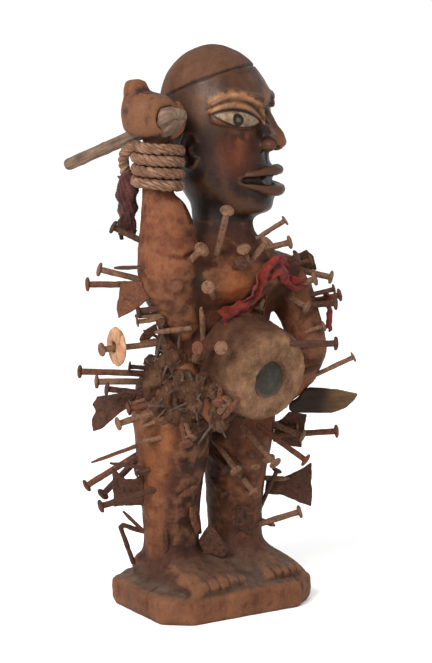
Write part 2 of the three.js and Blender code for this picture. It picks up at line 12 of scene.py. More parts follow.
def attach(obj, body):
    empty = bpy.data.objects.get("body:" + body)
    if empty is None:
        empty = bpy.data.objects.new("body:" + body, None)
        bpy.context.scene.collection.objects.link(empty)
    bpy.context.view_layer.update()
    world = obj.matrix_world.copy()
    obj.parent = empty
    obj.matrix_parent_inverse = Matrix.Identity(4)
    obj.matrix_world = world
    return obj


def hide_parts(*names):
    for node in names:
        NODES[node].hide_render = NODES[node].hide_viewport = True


bl_info = {
    "name": "Power figure",
    "version": (1, 0, 0),
    "blender": (4, 5, 0),
    "location": "View3D > Sidebar > Figure",
    "description": "Carves and dresses a standing power figure round its packed solids",
    "category": "Object",
}

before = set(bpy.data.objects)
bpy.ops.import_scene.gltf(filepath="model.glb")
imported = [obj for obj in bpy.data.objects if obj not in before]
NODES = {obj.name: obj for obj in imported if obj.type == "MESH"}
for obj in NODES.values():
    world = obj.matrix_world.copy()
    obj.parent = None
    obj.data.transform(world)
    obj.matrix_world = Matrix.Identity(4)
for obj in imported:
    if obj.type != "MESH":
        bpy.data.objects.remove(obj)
MM = 0.001

# The figure stands turned on its base, and its head is turned on its neck. Lengths are millimetres.
TURN = math.radians(4)
HEAD_TURN = math.radians(32)
HEAD_AT = (2.0, 0.0, 394.0)
HEAD_REACH = 95
CAP = {"high": 134.0, "slope": math.radians(22)}
EYE = {"at": (32.0, -37.5, 97.5), "turn": math.radians(43), "half": 26.0, "high": 8.0, "slant": 0.16}
EYE_BOW = 2.1
PUPIL = {"at": 2.3, "up": -1.0, "half": 5.8, "high": 6.2}
MOUTH = {"corner": 40, "half": 33, "upper": (47, 65, 6.2, 40), "lower": (27.5, 67, 6.8, 36)}
FIST_AT = (-84.0, -14.0, 494.0)
FEET = {"middles_and_halves": ((-27, 38), (50, 29)), "top": 40, "toes": 5, "spread": 1.72}
STICK = {"back": (-93, 117, 442), "front": (-78, -56, 497), "thick": 12, "tip": 32}
WRIST = {"x": -75, "y": -15, "radius": 15.5, "low": 420.5}
ROPE = {"thick": 11.0, "pitch": 11.3, "turns": 3.6, "start": -112, "per_turn": 22, "gap": 0.3}
# The rope's tail, each point as its reach from the wrist's middle, its bearing and its height.
ROPE_TAIL = [(34, -154, 420), (34, -154, 432), (35, -150, 443), (34, -141, 455), (29, -127, 463)]
BUNDLE = {"x": -91, "y": 15, "knot": 397}
PACK_RIM = {"x": 3, "z": 243, "reach": 30}
MIRROR = {"at": (-1, -94.6, 243), "radius": 18.0, "thick": 2.5, "bulge": 0.7}
RAG = {"thick": 2.6, "pleats": 1.3, "cloth": 0.9, "spare": 1.35}
# How far old oil has darkened each of the wood's tones, as red, green and blue.
OILED = (0.46, 0.37, 0.31)
# Metres between the points of each piece's fine skin.
SKIN = {
    "body": 0.0022, "pack": 0.0013, "bundle": 0.0011, "clump": 0.0012, "blade": 0.00085,
    "folded": 0.0007, "horn": 0.001, "disc": 0.0009,
}


# Frames

def turned(points, angle):
    """Points turned about the upright axis."""
    points = np.asarray(points, float)
    sin, cos = math.sin(angle), math.cos(angle)
    x, y = points[..., 0], points[..., 1]
    return np.stack([x * cos - y * sin, x * sin + y * cos, points[..., 2]], axis=-1)


def to_row(points):
    """Millimetres in the figure's own frame to metres in the part's frame."""
    return turned(points, TURN) * MM


def from_row(points):
    """Metres in the part's frame to millimetres in the figure's own frame."""
    return turned(np.asarray(points, float) / MM, -TURN)


def from_head(points):
    """Millimetres in the head's frame, facing -Y with the jaw at 0, to the figure's own frame."""
    return turned(points, HEAD_TURN) + np.array(HEAD_AT)


def to_head(points):
    """Millimetres in the figure's own frame to the head's frame."""
    return turned(np.asarray(points, float) - np.array(HEAD_AT), -HEAD_TURN)


def heading(bearing, pitch):
    """A direction in the figure's own frame: bearing 0 is its front and 90 its left."""
    flat = math.cos(math.radians(pitch))
    turn = math.radians(bearing)
    return np.array([math.sin(turn) * flat, -math.cos(turn) * flat, math.sin(math.radians(pitch))])


# Numbers and noise

def unit(vectors):
    length = np.linalg.norm(vectors, axis=-1, keepdims=True)
    return vectors / np.maximum(length, 1e-12)


def smooth_step(low, high, value):
    """0 at low, 1 at high and a soft change between them, rising or falling."""
    share = np.clip((value - low) / (high - low), 0, 1)
    return share * share * (3 - 2 * share)


def bell(value, width):
    """1 at 0, falling off on both sides within about twice the width."""
    return np.exp(-(value / width) ** 2)


def lumps(points, size, seed=0):
    """Smooth noise from -1 to 1 with blobs of one size, the same each run."""
    cell = np.asarray(points, float) / size + seed * 17.37
    low = np.floor(cell)
    part = cell - low
    part = part * part * (3 - 2 * part)
    low = low.astype(np.int64)
    total = np.zeros(len(cell))
    for corner in itertools.product((0, 1), repeat=3):
        at = low + corner
        mixed = (at[:, 0] * 73856093) ^ (at[:, 1] * 19349663) ^ (at[:, 2] * 83492791)
        mixed = (mixed ^ (mixed >> 13)) * 1274126177
        value = ((mixed ^ (mixed >> 16)) & 0xFFFF) / 32767.5 - 1
        share = [part[:, i] if corner[i] else 1 - part[:, i] for i in range(3)]
        total += value * share[0] * share[1] * share[2]
    return total


def drift(points, size, seed):
    """Smooth noise along each axis."""
    return np.stack([lumps(points, size, seed + i) for i in range(3)], axis=1)


def spline(points, dense):
    """Points on a smooth line through the given ones, with dense of them to each stretch."""
    points = np.asarray(points, float)
    ends = np.vstack([2 * points[0] - points[1], points, 2 * points[-1] - points[-2]])
    t = np.linspace(0, 1, dense, endpoint=False)[:, None]
    rows = [
        0.5 * (2 * b + (c - a) * t + (2 * a - 5 * b + 4 * c - d) * t**2 + (3 * b - a - 3 * c + d) * t**3)
        for a, b, c, d in zip(ends, ends[1:], ends[2:], ends[3:])
    ]
    return np.vstack([*rows, points[-1:]])


def line_distance(points, route):
    """How far each point is from a line through the route's points."""
    best = np.full(len(points), 1e9)
    route = np.asarray(route, float)
    for a, b in zip(route, route[1:]):
        along = b - a
        share = np.clip(((points - a) @ along) / max(along @ along, 1e-9), 0, 1)
        best = np.minimum(best, np.linalg.norm(points - a - share[:, None] * along, axis=1))
    return best


def streak(points, route, width):
    """1 on a line through the route's points, falling off beside it."""
    return bell(line_distance(points, route), width)


def place_distance(points, place, sizes=(1, 1, 1)):
    """How far each point is from a place, with each axis measured in a size of its own."""
    return np.linalg.norm((points - np.array(place)) / np.array(sizes), axis=1)


def spot(points, place, width, sizes=(1, 1, 1)):
    """1 at a place, falling off round it."""
    return bell(place_distance(points, place, sizes), width)


# Shapes as points and faces

def rounded(u, v, power):
    """A point on a circle moved out to a rounder or squarer ring."""
    reach = (np.abs(u) ** power + np.abs(v) ** power) ** (-1 / power)
    return u * reach, v * reach


def ring_faces(rings, sides, first=0):
    """Four-sided faces between rings of points that follow each other."""
    faces = []
    for ring in range(rings - 1):
        for i in range(sides):
            a = first + ring * sides + i
            b = first + ring * sides + (i + 1) % sides
            faces.append((a, b, b + sides, a + sides))
    return faces


def fan_faces(ring, sides, tip):
    """Triangles from a ring of points to a tip, wound along the ring."""
    return [(ring + i, ring + (i + 1) % sides, tip) for i in range(sides)]


def turned_over(faces):
    return [face[::-1] for face in faces]


def grid_faces(rows, columns):
    """Four-sided faces between rows of points that follow each other."""
    starts = [row * columns + i for row in range(rows - 1) for i in range(columns - 1)]
    return [(a, a + 1, a + columns + 1, a + columns) for a in starts]


def bar(stations, up=(0, 0, 1), sides=16, power=2.0, dense=4):
    """A closed bar through stations of (middle, half width, half depth)."""
    line = spline([[*middle, wide, deep] for middle, wide, deep in stations], dense)
    centres, wide, deep = line[:, :3], np.maximum(line[:, 3], 0.02), np.maximum(line[:, 4], 0.02)
    along = unit(np.gradient(centres, axis=0))
    side = unit(np.cross(np.array(up, float), along))
    over = np.cross(along, side)
    angle = np.linspace(0, 2 * math.pi, sides, endpoint=False)
    u, v = rounded(np.cos(angle), np.sin(angle), power)
    rings = centres[:, None] + side[:, None] * (wide[:, None] * u)[..., None]
    rings = rings + over[:, None] * (deep[:, None] * v)[..., None]
    count = len(centres)
    points = np.vstack([rings.reshape(-1, 3), centres[:1], centres[-1:]])
    faces = ring_faces(count, sides)
    faces += turned_over(fan_faces(0, sides, count * sides))
    faces += fan_faces((count - 1) * sides, sides, count * sides + 1)
    return points, faces


def ball(middle, sizes, turn=0.0, segments=28):
    """A closed ball with half sizes, turned about the upright axis."""
    rings = segments // 2 - 1
    angle = np.linspace(0, 2 * math.pi, segments, endpoint=False)
    slope = np.linspace(-math.pi / 2, math.pi / 2, rings + 2)[1:-1]
    x = np.outer(np.cos(slope), np.cos(angle))
    y = np.outer(np.cos(slope), np.sin(angle))
    z = np.outer(np.sin(slope), np.ones(segments))
    points = np.stack([x, y, z], axis=-1).reshape(-1, 3)
    points = np.vstack([points, [[0, 0, -1], [0, 0, 1]]]) * np.array(sizes, float)
    faces = ring_faces(rings, segments)
    faces += turned_over(fan_faces(0, segments, rings * segments))
    faces += fan_faces((rings - 1) * segments, segments, rings * segments + 1)
    return turned(points, turn) + np.array(middle, float), faces


def moved(shape, place):
    """A shape with its points put through a function."""
    points, faces = shape
    return place(points), faces


# Objects and meshes

def new_object(name, mesh):
    piece = bpy.data.objects.new(name, mesh)
    bpy.context.scene.collection.objects.link(piece)
    return piece


def from_shapes(name, shapes):
    """One object of several shapes, with points already in metres."""
    points, faces, first = [], [], 0
    for own_points, own_faces in shapes:
        points.append(own_points)
        faces.extend(tuple(i + first for i in face) for face in own_faces)
        first += len(own_points)
    mesh = bpy.data.meshes.new(name)
    mesh.from_pydata(np.vstack(points).tolist(), [], faces)
    mesh.update()
    return new_object(name, mesh)


def points_of(mesh):
    points = np.empty(len(mesh.vertices) * 3)
    mesh.vertices.foreach_get("co", points)
    return points.reshape(-1, 3)


def set_points(mesh, points):
    mesh.vertices.foreach_set("co", np.asarray(points, float).ravel())
    mesh.update()


def normals_of(mesh):
    normals = np.empty(len(mesh.vertices) * 3)
    mesh.vertex_normals.foreach_get("vector", normals)
    return normals.reshape(-1, 3)


def corners_of(mesh):
    """The three points of each triangle, by number."""
    mesh.calc_loop_triangles()
    corners = np.empty(len(mesh.loop_triangles) * 3, np.int32)
    mesh.loop_triangles.foreach_get("vertices", corners)
    return corners.reshape(-1, 3)


def pushed(mesh, relief, shift=0.0):
    """Moves each point out along its normal, and by a shift of its own, in millimetres."""
    set_points(mesh, points_of(mesh) + (normals_of(mesh) * relief[:, None] + shift) * MM)


def plain_mesh(piece):
    """A new mesh of what the piece's modifiers make of it."""
    graph = bpy.context.evaluated_depsgraph_get()
    graph.update()
    return bpy.data.meshes.new_from_object(piece.evaluated_get(graph), depsgraph=graph)


def baked(piece):
    """Applies a piece's modifiers to its mesh."""
    mesh = plain_mesh(piece)
    old = piece.data
    piece.modifiers.clear()
    piece.data = mesh
    bpy.data.meshes.remove(old)
    return piece


def node_copy(node, name):
    """A merged copy of a solid's mesh as an object of its own."""
    mesh = NODES[node].data.copy()
    mesh.name = name
    mesh.materials.clear()
    piece = new_object(name, mesh)
    weld = piece.modifiers.new("Weld", "WELD")
    weld.merge_threshold = 1e-6
    return baked(piece)


def remeshed(piece, voxel):
    """One closed skin round everything in the piece, with faces of one size."""
    modifier = piece.modifiers.new("Remesh", "REMESH")
    modifier.mode = "VOXEL"
    modifier.voxel_size = voxel
    return baked(piece)


def decimated(piece, triangles):
    """The piece with at most this many triangles."""
    have = len(corners_of(piece.data))
    if have > triangles:
        modifier = piece.modifiers.new("Decimate", "DECIMATE")
        modifier.ratio = triangles / have
        modifier.use_collapse_triangulate = True
        baked(piece)
    return piece


def smoothed_points(mesh, rounds, factor=0.5):
    """The mesh's points, each moved towards its neighbours a number of times."""
    points = points_of(mesh)
    pairs = np.empty(len(mesh.edges) * 2, np.int32)
    mesh.edges.foreach_get("vertices", pairs)
    pairs = pairs.reshape(-1, 2)
    count = np.bincount(pairs.ravel(), minlength=len(points)).astype(float)
    count = np.maximum(count, 1)[:, None]
    for _ in range(rounds):
        total = np.empty_like(points)
        for axis in range(3):
            values = points[:, axis]
            total[:, axis] = np.bincount(pairs[:, 0], values[pairs[:, 1]], len(points))
            total[:, axis] += np.bincount(pairs[:, 1], values[pairs[:, 0]], len(points))
        points += factor * (total / count - points)
    return points


def softened(mesh, rounds, factor=0.5):
    """Rounds a mesh off, and gives its points in the figure's own frame."""
    set_points(mesh, smoothed_points(mesh, rounds, factor))
    return from_row(points_of(mesh))


def hollows(mesh, rounds):
    """How deep each point lies in a hollow, below 0 on an edge, in metres."""
    smooth = smoothed_points(mesh, rounds)
    return np.sum((smooth - points_of(mesh)) * normals_of(mesh), axis=1)


def add_numbers(mesh, name, values):
    """Stores a number at each point under a name that a material reads."""
    attribute = mesh.attributes.get(name) or mesh.attributes.new(name, "FLOAT", "POINT")
    attribute.data.foreach_set("value", np.asarray(values, np.float32))


def add_painted_shade(mesh, rounds, deep, most):
    """Stores painted shade in hollows, down to a depth in metres, up to a share."""
    add_numbers(mesh, "shade_and_tone", smooth_step(0.0001, deep, hollows(mesh, rounds)) * most)


def add_colours(mesh, name, colours):
    attribute = mesh.attributes.get(name) or mesh.attributes.new(name, "FLOAT_COLOR", "POINT")
    full = np.ones((len(colours), 4), np.float32)
    full[:, :3] = colours
    attribute.data.foreach_set("color", full.ravel())


def finished(piece, look, nodes, sharp_from=None):
    """Gives a piece smooth shading, its look, its body and the solids it stands for."""
    mesh = piece.data
    mesh.polygons.foreach_set("use_smooth", np.ones(len(mesh.polygons), bool))
    if sharp_from is not None:
        mesh.set_sharp_from_angle(angle=math.radians(sharp_from))
    mesh.update()
    mesh.materials.clear()
    mesh.materials.append(look)
    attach(piece, "root")
    if nodes:
        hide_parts(*nodes)
    return piece


# Node trees

class Tree:
    """Adds nodes to one tree. An input takes a number or another node's output."""

    def __init__(self, tree):
        self.tree = tree

    def add(self, kind, inputs=None, **settings):
        node = self.tree.nodes.new(kind)
        for name, value in settings.items():
            setattr(node, name, value)
        for name, value in (inputs or {}).items():
            self.put(node.inputs[name], value)
        return node

    def step(self, kind, inputs=None, **settings):
        """Adds a node and gives its first output."""
        return self.add(kind, inputs, **settings).outputs[0]

    def put(self, socket, value):
        if isinstance(value, bpy.types.NodeSocket):
            self.tree.links.new(value, socket)
        else:
            socket.default_value = value

    def math(self, operation, *values):
        node = self.add("ShaderNodeMath", operation=operation)
        for socket, value in zip(node.inputs, values):
            self.put(socket, value)
        return node.outputs[0]

    def vector(self, operation, *values):
        """Vector arithmetic. SCALE takes a vector and a number."""
        node = self.add("ShaderNodeVectorMath", operation=operation)
        sockets = (node.inputs[0], node.inputs["Scale"]) if operation == "SCALE" else node.inputs
        for socket, value in zip(sockets, values):
            self.put(socket, value)
        return node.outputs[0]


def rgb(hue):
    """A hex colour as the linear numbers that shaders take."""
    parts = [int(hue[i:i + 2], 16) / 255 for i in (0, 2, 4)]
    return tuple(p / 12.92 if p <= 0.04045 else ((p + 0.055) / 1.055) ** 2.4 for p in parts)


class Paint(Tree):
    """A material round one Principled shader, with a colour that other colours are laid over."""

    def __init__(self, name, roughness=0.8, metallic=0.0, specular=0.5):
        self.material = bpy.data.materials.new(name)
        self.material.use_nodes = True
        super().__init__(self.material.node_tree)
        self.tree.nodes.clear()
        output = self.add("ShaderNodeOutputMaterial")
        self.shader = self.add("ShaderNodeBsdfPrincipled", {
            "Roughness": roughness, "Metallic": metallic, "Specular IOR Level": specular,
        })
        self.tree.links.new(self.shader.outputs["BSDF"], output.inputs["Surface"])
        self.place = self.add("ShaderNodeTexCoord").outputs["Object"]
        self.colour = None

    def stretched(self, scale, place=None):
        """The place on the piece, scaled along its axes."""
        return self.step("ShaderNodeMapping", {"Vector": place or self.place, "Scale": scale})

    def fibre_place(self, scale):
        """A place counted along and round a strand, from numbers on its points."""
        place = self.step("ShaderNodeCombineXYZ", {"X": self.number("along"), "Y": self.number("round")})
        return self.stretched((scale, 1.0, 1.0), place)

    def noise(self, size, detail=3.0, rough=0.55, place=None, warp=0.0):
        """Cloudy noise from 0 to 1 with blobs of a size in millimetres."""
        return self.add("ShaderNodeTexNoise", {
            "Vector": place or self.place, "Scale": 1 / (size * MM), "Detail": detail,
            "Roughness": rough, "Distortion": warp,
        }).outputs["Fac"]

    def cells(self, size):
        return self.add("ShaderNodeTexVoronoi", {
            "Vector": self.place, "Scale": 1 / (size * MM),
        }).outputs["Distance"]

    def threads(self, size, direction):
        """Even waves with a thread's width in millimetres, a little out of line."""
        return self.add("ShaderNodeTexWave", {
            "Vector": self.place, "Scale": 1 / (size * MM * 3.14), "Distortion": 0.6,
            "Detail": 2.0, "Detail Scale": 1.5,
        }, bands_direction=direction).outputs["Fac"]

    def number(self, name):
        """A number stored on the piece's points."""
        return self.add("ShaderNodeAttribute", attribute_name=name).outputs["Fac"]

    def span(self, value, low, high, start=0.0, end=1.0):
        """A value from low to high turned into one from start to end."""
        return self.step("ShaderNodeMapRange", {
            "Value": value, "From Min": low, "From Max": high, "To Min": start, "To Max": end,
        }, clamp=True)

    def mix(self, share, first, second, blend="MIX"):
        """Two colours mixed, each a hex colour or a node's output."""
        node = self.add("ShaderNodeMix", data_type="RGBA", blend_type=blend)
        self.put(node.inputs[0], share)
        sockets = [s for s in node.inputs if s.type == "RGBA"]
        for socket, value in zip(sockets, (first, second)):
            self.put(socket, (*rgb(value), 1.0) if isinstance(value, str) else value)
        return next(s for s in node.outputs if s.type == "RGBA")

    def lay(self, hue, share, blend="MIX"):
        """Lays a colour over the one so far."""
        self.colour = self.mix(share, self.colour, hue, blend)

    def ramp(self, value, *stops):
        """Colours along a value, each stop given as (place, hex colour)."""
        node = self.add("ShaderNodeValToRGB", {"Fac": value})
        elements = node.color_ramp.elements
        while len(elements) < len(stops):
            elements.new(0.5)
        for element, (position, hue) in zip(elements, stops):
            element.position = position
            element.color = (*rgb(hue), 1.0)
        return node.outputs["Color"]

    def bump(self, height, distance, strength=1.0, under=None):
        """Relief of a depth in millimetres."""
        inputs = {"Height": height, "Distance": distance * MM, "Strength": strength}
        if under is not None:
            inputs["Normal"] = under
        return self.step("ShaderNodeBump", inputs)

    def done(self, roughness, normal=None):
        """Joins the colour, the roughness and the relief to the shader."""
        self.put(self.shader.inputs["Base Color"], self.colour)
        self.put(self.shader.inputs["Roughness"], roughness)
        if normal is not None:
            self.put(self.shader.inputs["Normal"], normal)
        return self.material


# Finishes

def wood_finish(name):
    """Old oiled wood: the carver's colours, with painted light and shade among them, lie on the points, with
    grain, dirt, wear and painted shade in the hollows over them.
    """
    paint = Paint(name, specular=0.16)
    grain = paint.noise(9, 5, 0.6, paint.stretched((1, 1, 0.16)), 0.4)
    streaks = paint.noise(2.2, 4, 0.6, paint.stretched((1, 1, 0.12)))
    blotches = paint.noise(38, 4, 0.55)
    stains = paint.noise(14, 6, 0.65)
    grit = paint.noise(1.3, 5, 0.75)
    paint.colour = paint.add("ShaderNodeAttribute", attribute_name="tint").outputs["Color"]
    paint.lay("6e4a36", paint.span(grain, 0.3, 0.7, 0.0, 0.5), "OVERLAY")
    paint.lay("8b7365", paint.span(blotches, 0.35, 0.68, 0.0, 0.55), "MULTIPLY")
    paint.lay("5c4438", paint.span(stains, 0.52, 0.72, 0.0, 0.6), "MULTIPLY")
    paint.lay("8a5c3e", paint.span(streaks, 0.55, 0.75, 0.0, 0.3), "OVERLAY")
    dusty = paint.span(stains, 0.3, 0.62, 0.8, 0.2)
    paint.lay("5c4a3e", paint.math("MULTIPLY", paint.number("dust"), dusty))
    paint.lay("7c4f33", paint.math("MULTIPLY", paint.number("worn"), 0.5))
    # Painted shade: creases and hollows darkened towards black.
    paint.lay("120b08", paint.number("shade_and_tone"))
    cream = paint.mix(paint.span(stains, 0.38, 0.62, 0.0, 0.9), "83715a", "483523")
    paint.lay(cream, paint.span(paint.number("eye_edge"), -0.3, 0.3, 1.0, 0.0))
    pupil = paint.number("pupil_edge")
    iris = paint.mix(paint.span(pupil, -4.2, -2.6), "4c443a", "150c08")
    paint.lay(iris, paint.span(pupil, -0.4, 0.4, 1.0, 0.0))
    paint.lay("2a1a12", paint.span(grit, 0.36, 0.5, 0.4, 0.0))
    paint.lay("b89878", paint.span(grit, 0.6, 0.72, 0.0, 0.14))
    shine = paint.span(paint.number("gloss"), 0.0, 1.0, 0.78, 0.42)
    rough = paint.math("ADD", shine, paint.span(stains, 0.3, 0.7, -0.12, 0.14))
    fine = paint.bump(grit, 0.3, 0.5, paint.bump(streaks, 0.35, 0.5))
    return paint.done(rough, paint.bump(stains, 0.7, 0.6, fine))


def resin_finish(name):
    """A crust of earth and resin with pale grains."""
    paint = Paint(name, specular=0.12)
    clouds = paint.noise(16, 5, 0.65)
    fine = paint.noise(2.4, 4, 0.7)
    paint.colour = paint.ramp(clouds, (0.3, "46301f"), (0.5, "654834"), (0.7, "7c5b44"))
    paint.lay("94795c", paint.span(fine, 0.56, 0.75, 0.0, 0.55))
    smooth = paint.ramp(clouds, (0.3, "2c1a12"), (0.5, "3e2619"), (0.7, "4e3222"))
    paint.colour = paint.mix(paint.number("rim"), smooth, paint.colour)
    # Painted shade: the crust's hollows darkened.
    paint.lay("160e0a", paint.number("shade_and_tone"))
    lumpy = paint.bump(paint.cells(3.2), 1.0, 0.6)
    return paint.done(paint.span(fine, 0.3, 0.7, 0.6, 0.95), paint.bump(fine, 0.6, 0.8, lumpy))


def glass_finish(name):
    """The clouded glass over the pack, dark and greenish, with dirt at its rim."""
    paint = Paint(name, specular=0.12)
    haze = paint.noise(9, 5, 0.6)
    paint.colour = paint.ramp(haze, (0.3, "211f1a"), (0.55, "302d26"), (0.8, "454035"))
    paint.lay("5c5346", paint.span(paint.noise(1.6, 4, 0.7), 0.58, 0.72, 0.0, 0.5))
    paint.lay("4a3a2c", paint.number("rim"))
    return paint.done(paint.span(haze, 0.3, 0.7, 0.12, 0.42), paint.bump(haze, 0.3, 0.3))


def stick_finish(name):
    """Dry tan wood with long grain."""
    paint = Paint(name, specular=0.3)
    grain = paint.noise(3.0, 5, 0.6, paint.fibre_place(0.08))
    paint.colour = paint.ramp(grain, (0.3, "43322a"), (0.5, "66503f"), (0.72, "856c58"))
    paint.lay("7a5f4d", paint.span(paint.noise(22, 4, 0.6), 0.4, 0.7, 0.0, 0.7), "MULTIPLY")
    # Painted shade in the hollows; on the twigs the same number darkens them all over.
    paint.lay("33241c", paint.number("shade_and_tone"))
    return paint.done(paint.span(grain, 0.3, 0.7, 0.9, 0.7), paint.bump(grain, 0.5, 0.7))


def rope_finish(name):
    """Coarse plant fibre, twisted, greyed with age."""
    paint = Paint(name, specular=0.2)
    fibres = paint.noise(1.3, 4, 0.6, paint.fibre_place(0.12))
    paint.colour = paint.ramp(fibres, (0.28, "3a281e"), (0.5, "6a4c3a"), (0.72, "93745e"))
    paint.lay("9c7a68", paint.span(paint.noise(14, 4, 0.6), 0.4, 0.7, 0.0, 0.5), "MULTIPLY")
    # Painted shade: against the wrist and between the turns.
    paint.lay("1c120d", paint.number("shade_and_tone"))
    return paint.done(0.95, paint.bump(fibres, 0.5, 0.9))


def cloth_finish(name, dark, middle, light, weave):
    """Old cloth with a coarse weave, each thread so many millimetres wide."""
    paint = Paint(name, specular=0.15)
    paint.put(paint.shader.inputs["Sheen Weight"], 0.08)
    paint.put(paint.shader.inputs["Sheen Roughness"], 0.6)
    woven = paint.math("MULTIPLY", paint.threads(weave, "DIAGONAL"), paint.threads(weave, "Z"))
    fuzz = paint.noise(1.0, 4, 0.7)
    paint.colour = paint.ramp(paint.noise(11, 5, 0.65), (0.3, dark), (0.52, middle), (0.75, light))
    paint.lay(dark, paint.span(woven, 0.1, 0.5, 0.45, 0.0))
    # Painted shade: the hollows of the folds darkened.
    paint.lay("160a09", paint.number("shade_and_tone"))
    relief = paint.bump(woven, 0.4, 0.8, paint.bump(fuzz, 0.5, 0.6))
    return paint.done(paint.span(fuzz, 0.3, 0.7, 0.85, 1.0), relief)


def iron_finish(name, dark, rust, bright, spots):
    """Rusted iron: dark scale with brown and orange rust."""
    paint = Paint(name, metallic=0.1, specular=0.2)
    spot_noise = paint.noise(3.2, 5, 0.7)
    pits = paint.noise(1.1, 4, 0.7)
    paint.colour = paint.ramp(paint.noise(7, 6, 0.7), (0.32, dark), (0.5, rust), (0.66, dark))
    paint.lay(bright, paint.span(spot_noise, 0.52, 0.66, 0.0, spots))
    paint.lay("1a100c", paint.span(pits, 0.3, 0.5, 0.55, 0.0))
    relief = paint.bump(spot_noise, 0.6, 0.8, paint.bump(pits, 0.35, 0.8))
    return paint.done(paint.span(spot_noise, 0.35, 0.65, 0.6, 0.95), relief)


def horn_finish(name):
    """Polished dark horn that turns golden towards its tip."""
    paint = Paint(name, specular=0.1)
    streaks = paint.noise(5, 4, 0.6, paint.stretched((0.25, 0.25, 1)), 0.6)
    paint.colour = paint.mix(paint.number("along"), "1c120c", "5a422a")
    paint.lay("33241a", paint.span(streaks, 0.4, 0.7, 0.0, 0.7))
    paint.lay("1d1611", paint.span(paint.noise(1.5, 4, 0.6), 0.5, 0.75, 0.0, 0.4))
    return paint.done(paint.span(streaks, 0.3, 0.7, 0.28, 0.5), paint.bump(streaks, 0.5, 0.4))


def disc_finish(name):
    """A pale, worn disc with brown bands."""
    paint = Paint(name, specular=0.4)
    bands = paint.noise(9, 3, 0.5, paint.stretched((1, 1, 0.5)), 0.8)
    spots = paint.noise(3, 5, 0.7)
    paint.colour = paint.ramp(bands, (0.3, "6a4028"), (0.5, "96694a"), (0.7, "b08a66"))
    paint.lay("6e452c", paint.span(spots, 0.5, 0.7, 0.0, 0.6))
    # Painted shade: the disc's hollows darkened.
    paint.lay("3a2418", paint.number("shade_and_tone"))
    return paint.done(paint.span(spots, 0.3, 0.7, 0.5, 0.85), paint.bump(spots, 0.4, 0.6))


FINISHES = {
    "wood": ("Carved_wood", wood_finish),
    "resin": ("Pack_resin", resin_finish),
    "glass": ("Mirror_glass", glass_finish),
    "stick": ("Stick_wood", stick_finish),
    "rope": ("Rope_fibre", rope_finish),
    "dark": ("Knitted_cloth", cloth_finish, "220c0a", "44201c", "60322a", 1.5),
    "red": ("Red_cloth", cloth_finish, "360c07", "6e1c10", "9a3018", 0.9),
    "iron": ("Rusted_iron", iron_finish, "1e1511", "452a1e", "6e4028", 0.5),
    "rust": ("Orange_rust", iron_finish, "33201a", "5c3624", "7c4a30", 0.8),
    "steel": ("Worn_iron", iron_finish, "3c2a20", "6e4d39", "8c684c", 0.6),
    "horn": ("Horn", horn_finish),
    "disc": ("Worn_disc", disc_finish),
}


def finish(key):
    """One of the figure's finishes, made when it is first asked for."""
    name, make, *values = FINISHES[key]
    return bpy.data.materials.get(name) or make(name, *values)


# Geometry Nodes

def new_group(name, inputs):
    """An empty geometry tree with named inputs of (name, kind, default)."""
    tree = bpy.data.node_groups.new(name, "GeometryNodeTree")
    tree.interface.new_socket("Geometry", in_out="OUTPUT", socket_type="NodeSocketGeometry")
    for label, kind, default in inputs:
        socket = tree.interface.new_socket(label, in_out="INPUT", socket_type="NodeSocket" + kind)
        if default is not None:
            socket.default_value = default
    make = Tree(tree)
    given = make.add("NodeGroupInput").outputs
    result = make.add("NodeGroupOutput").inputs[0]
    return make, given, result


def end_group(make, geometry, material, result):
    """Turns instances into real faces and gives them the material."""
    real = make.step("GeometryNodeRealizeInstances", {"Geometry": geometry})
    make.put(result, make.step("GeometryNodeSetMaterial", {"Geometry": real, "Material": material}))
    return make.tree


def planted(piece, tree, values):
    """Puts a geometry tree on the piece, with its inputs by name."""
    modifier = piece.modifiers.new(tree.name, "NODES")
    modifier.node_group = tree
    keys = {s.name: s.identifier for s in tree.interface.items_tree if s.in_out == "INPUT"}
    for name, value in values.items():
        modifier[keys[name]] = value
    return piece


def sized_curve(make, curve, radius, sides):
    """A skin of a number of sides round a curve of that radius."""
    profile = make.step("GeometryNodeCurvePrimitiveCircle", {"Resolution": sides, "Radius": 1.0})
    return make.step("GeometryNodeCurveToMesh", {
        "Curve": curve, "Profile Curve": profile, "Scale": radius, "Fill Caps": True,
    })


def centred_noise(make, inputs, **settings):
    """A noise colour moved so that its middle is at 0."""
    cloud = make.add("ShaderNodeTexNoise", inputs, **settings)
    return make.vector("SUBTRACT", cloud.outputs["Color"], (0.5, 0.5, 0.5))


def nail_head(make, given, low, high, along):
    """The nail's domed head, which a nail with a head of size 0 goes without."""
    line = make.step("GeometryNodeCurvePrimitiveLine", {"Start": low, "End": high})
    line = make.step("GeometryNodeResampleCurve", {"Curve": line, "Count": 7})
    dome = make.add("ShaderNodeFloatCurve", {"Value": along})
    points = dome.mapping.curves[0].points
    points[0].location, points[1].location = (0.0, 0.6), (1.0, 0.5)
    for x, y in ((0.18, 0.93), (0.5, 1.0), (0.8, 0.88)):
        points.new(x, y)
    dome.mapping.update()
    head = sized_curve(make, line, make.math("MULTIPLY", given["Head"], dome.outputs[0]), 14)
    headed = make.math("GREATER_THAN", given["Head"], 0.0001)
    return make.step("GeometryNodeSwitch", {"Switch": headed, "True": head}, input_type="GEOMETRY")


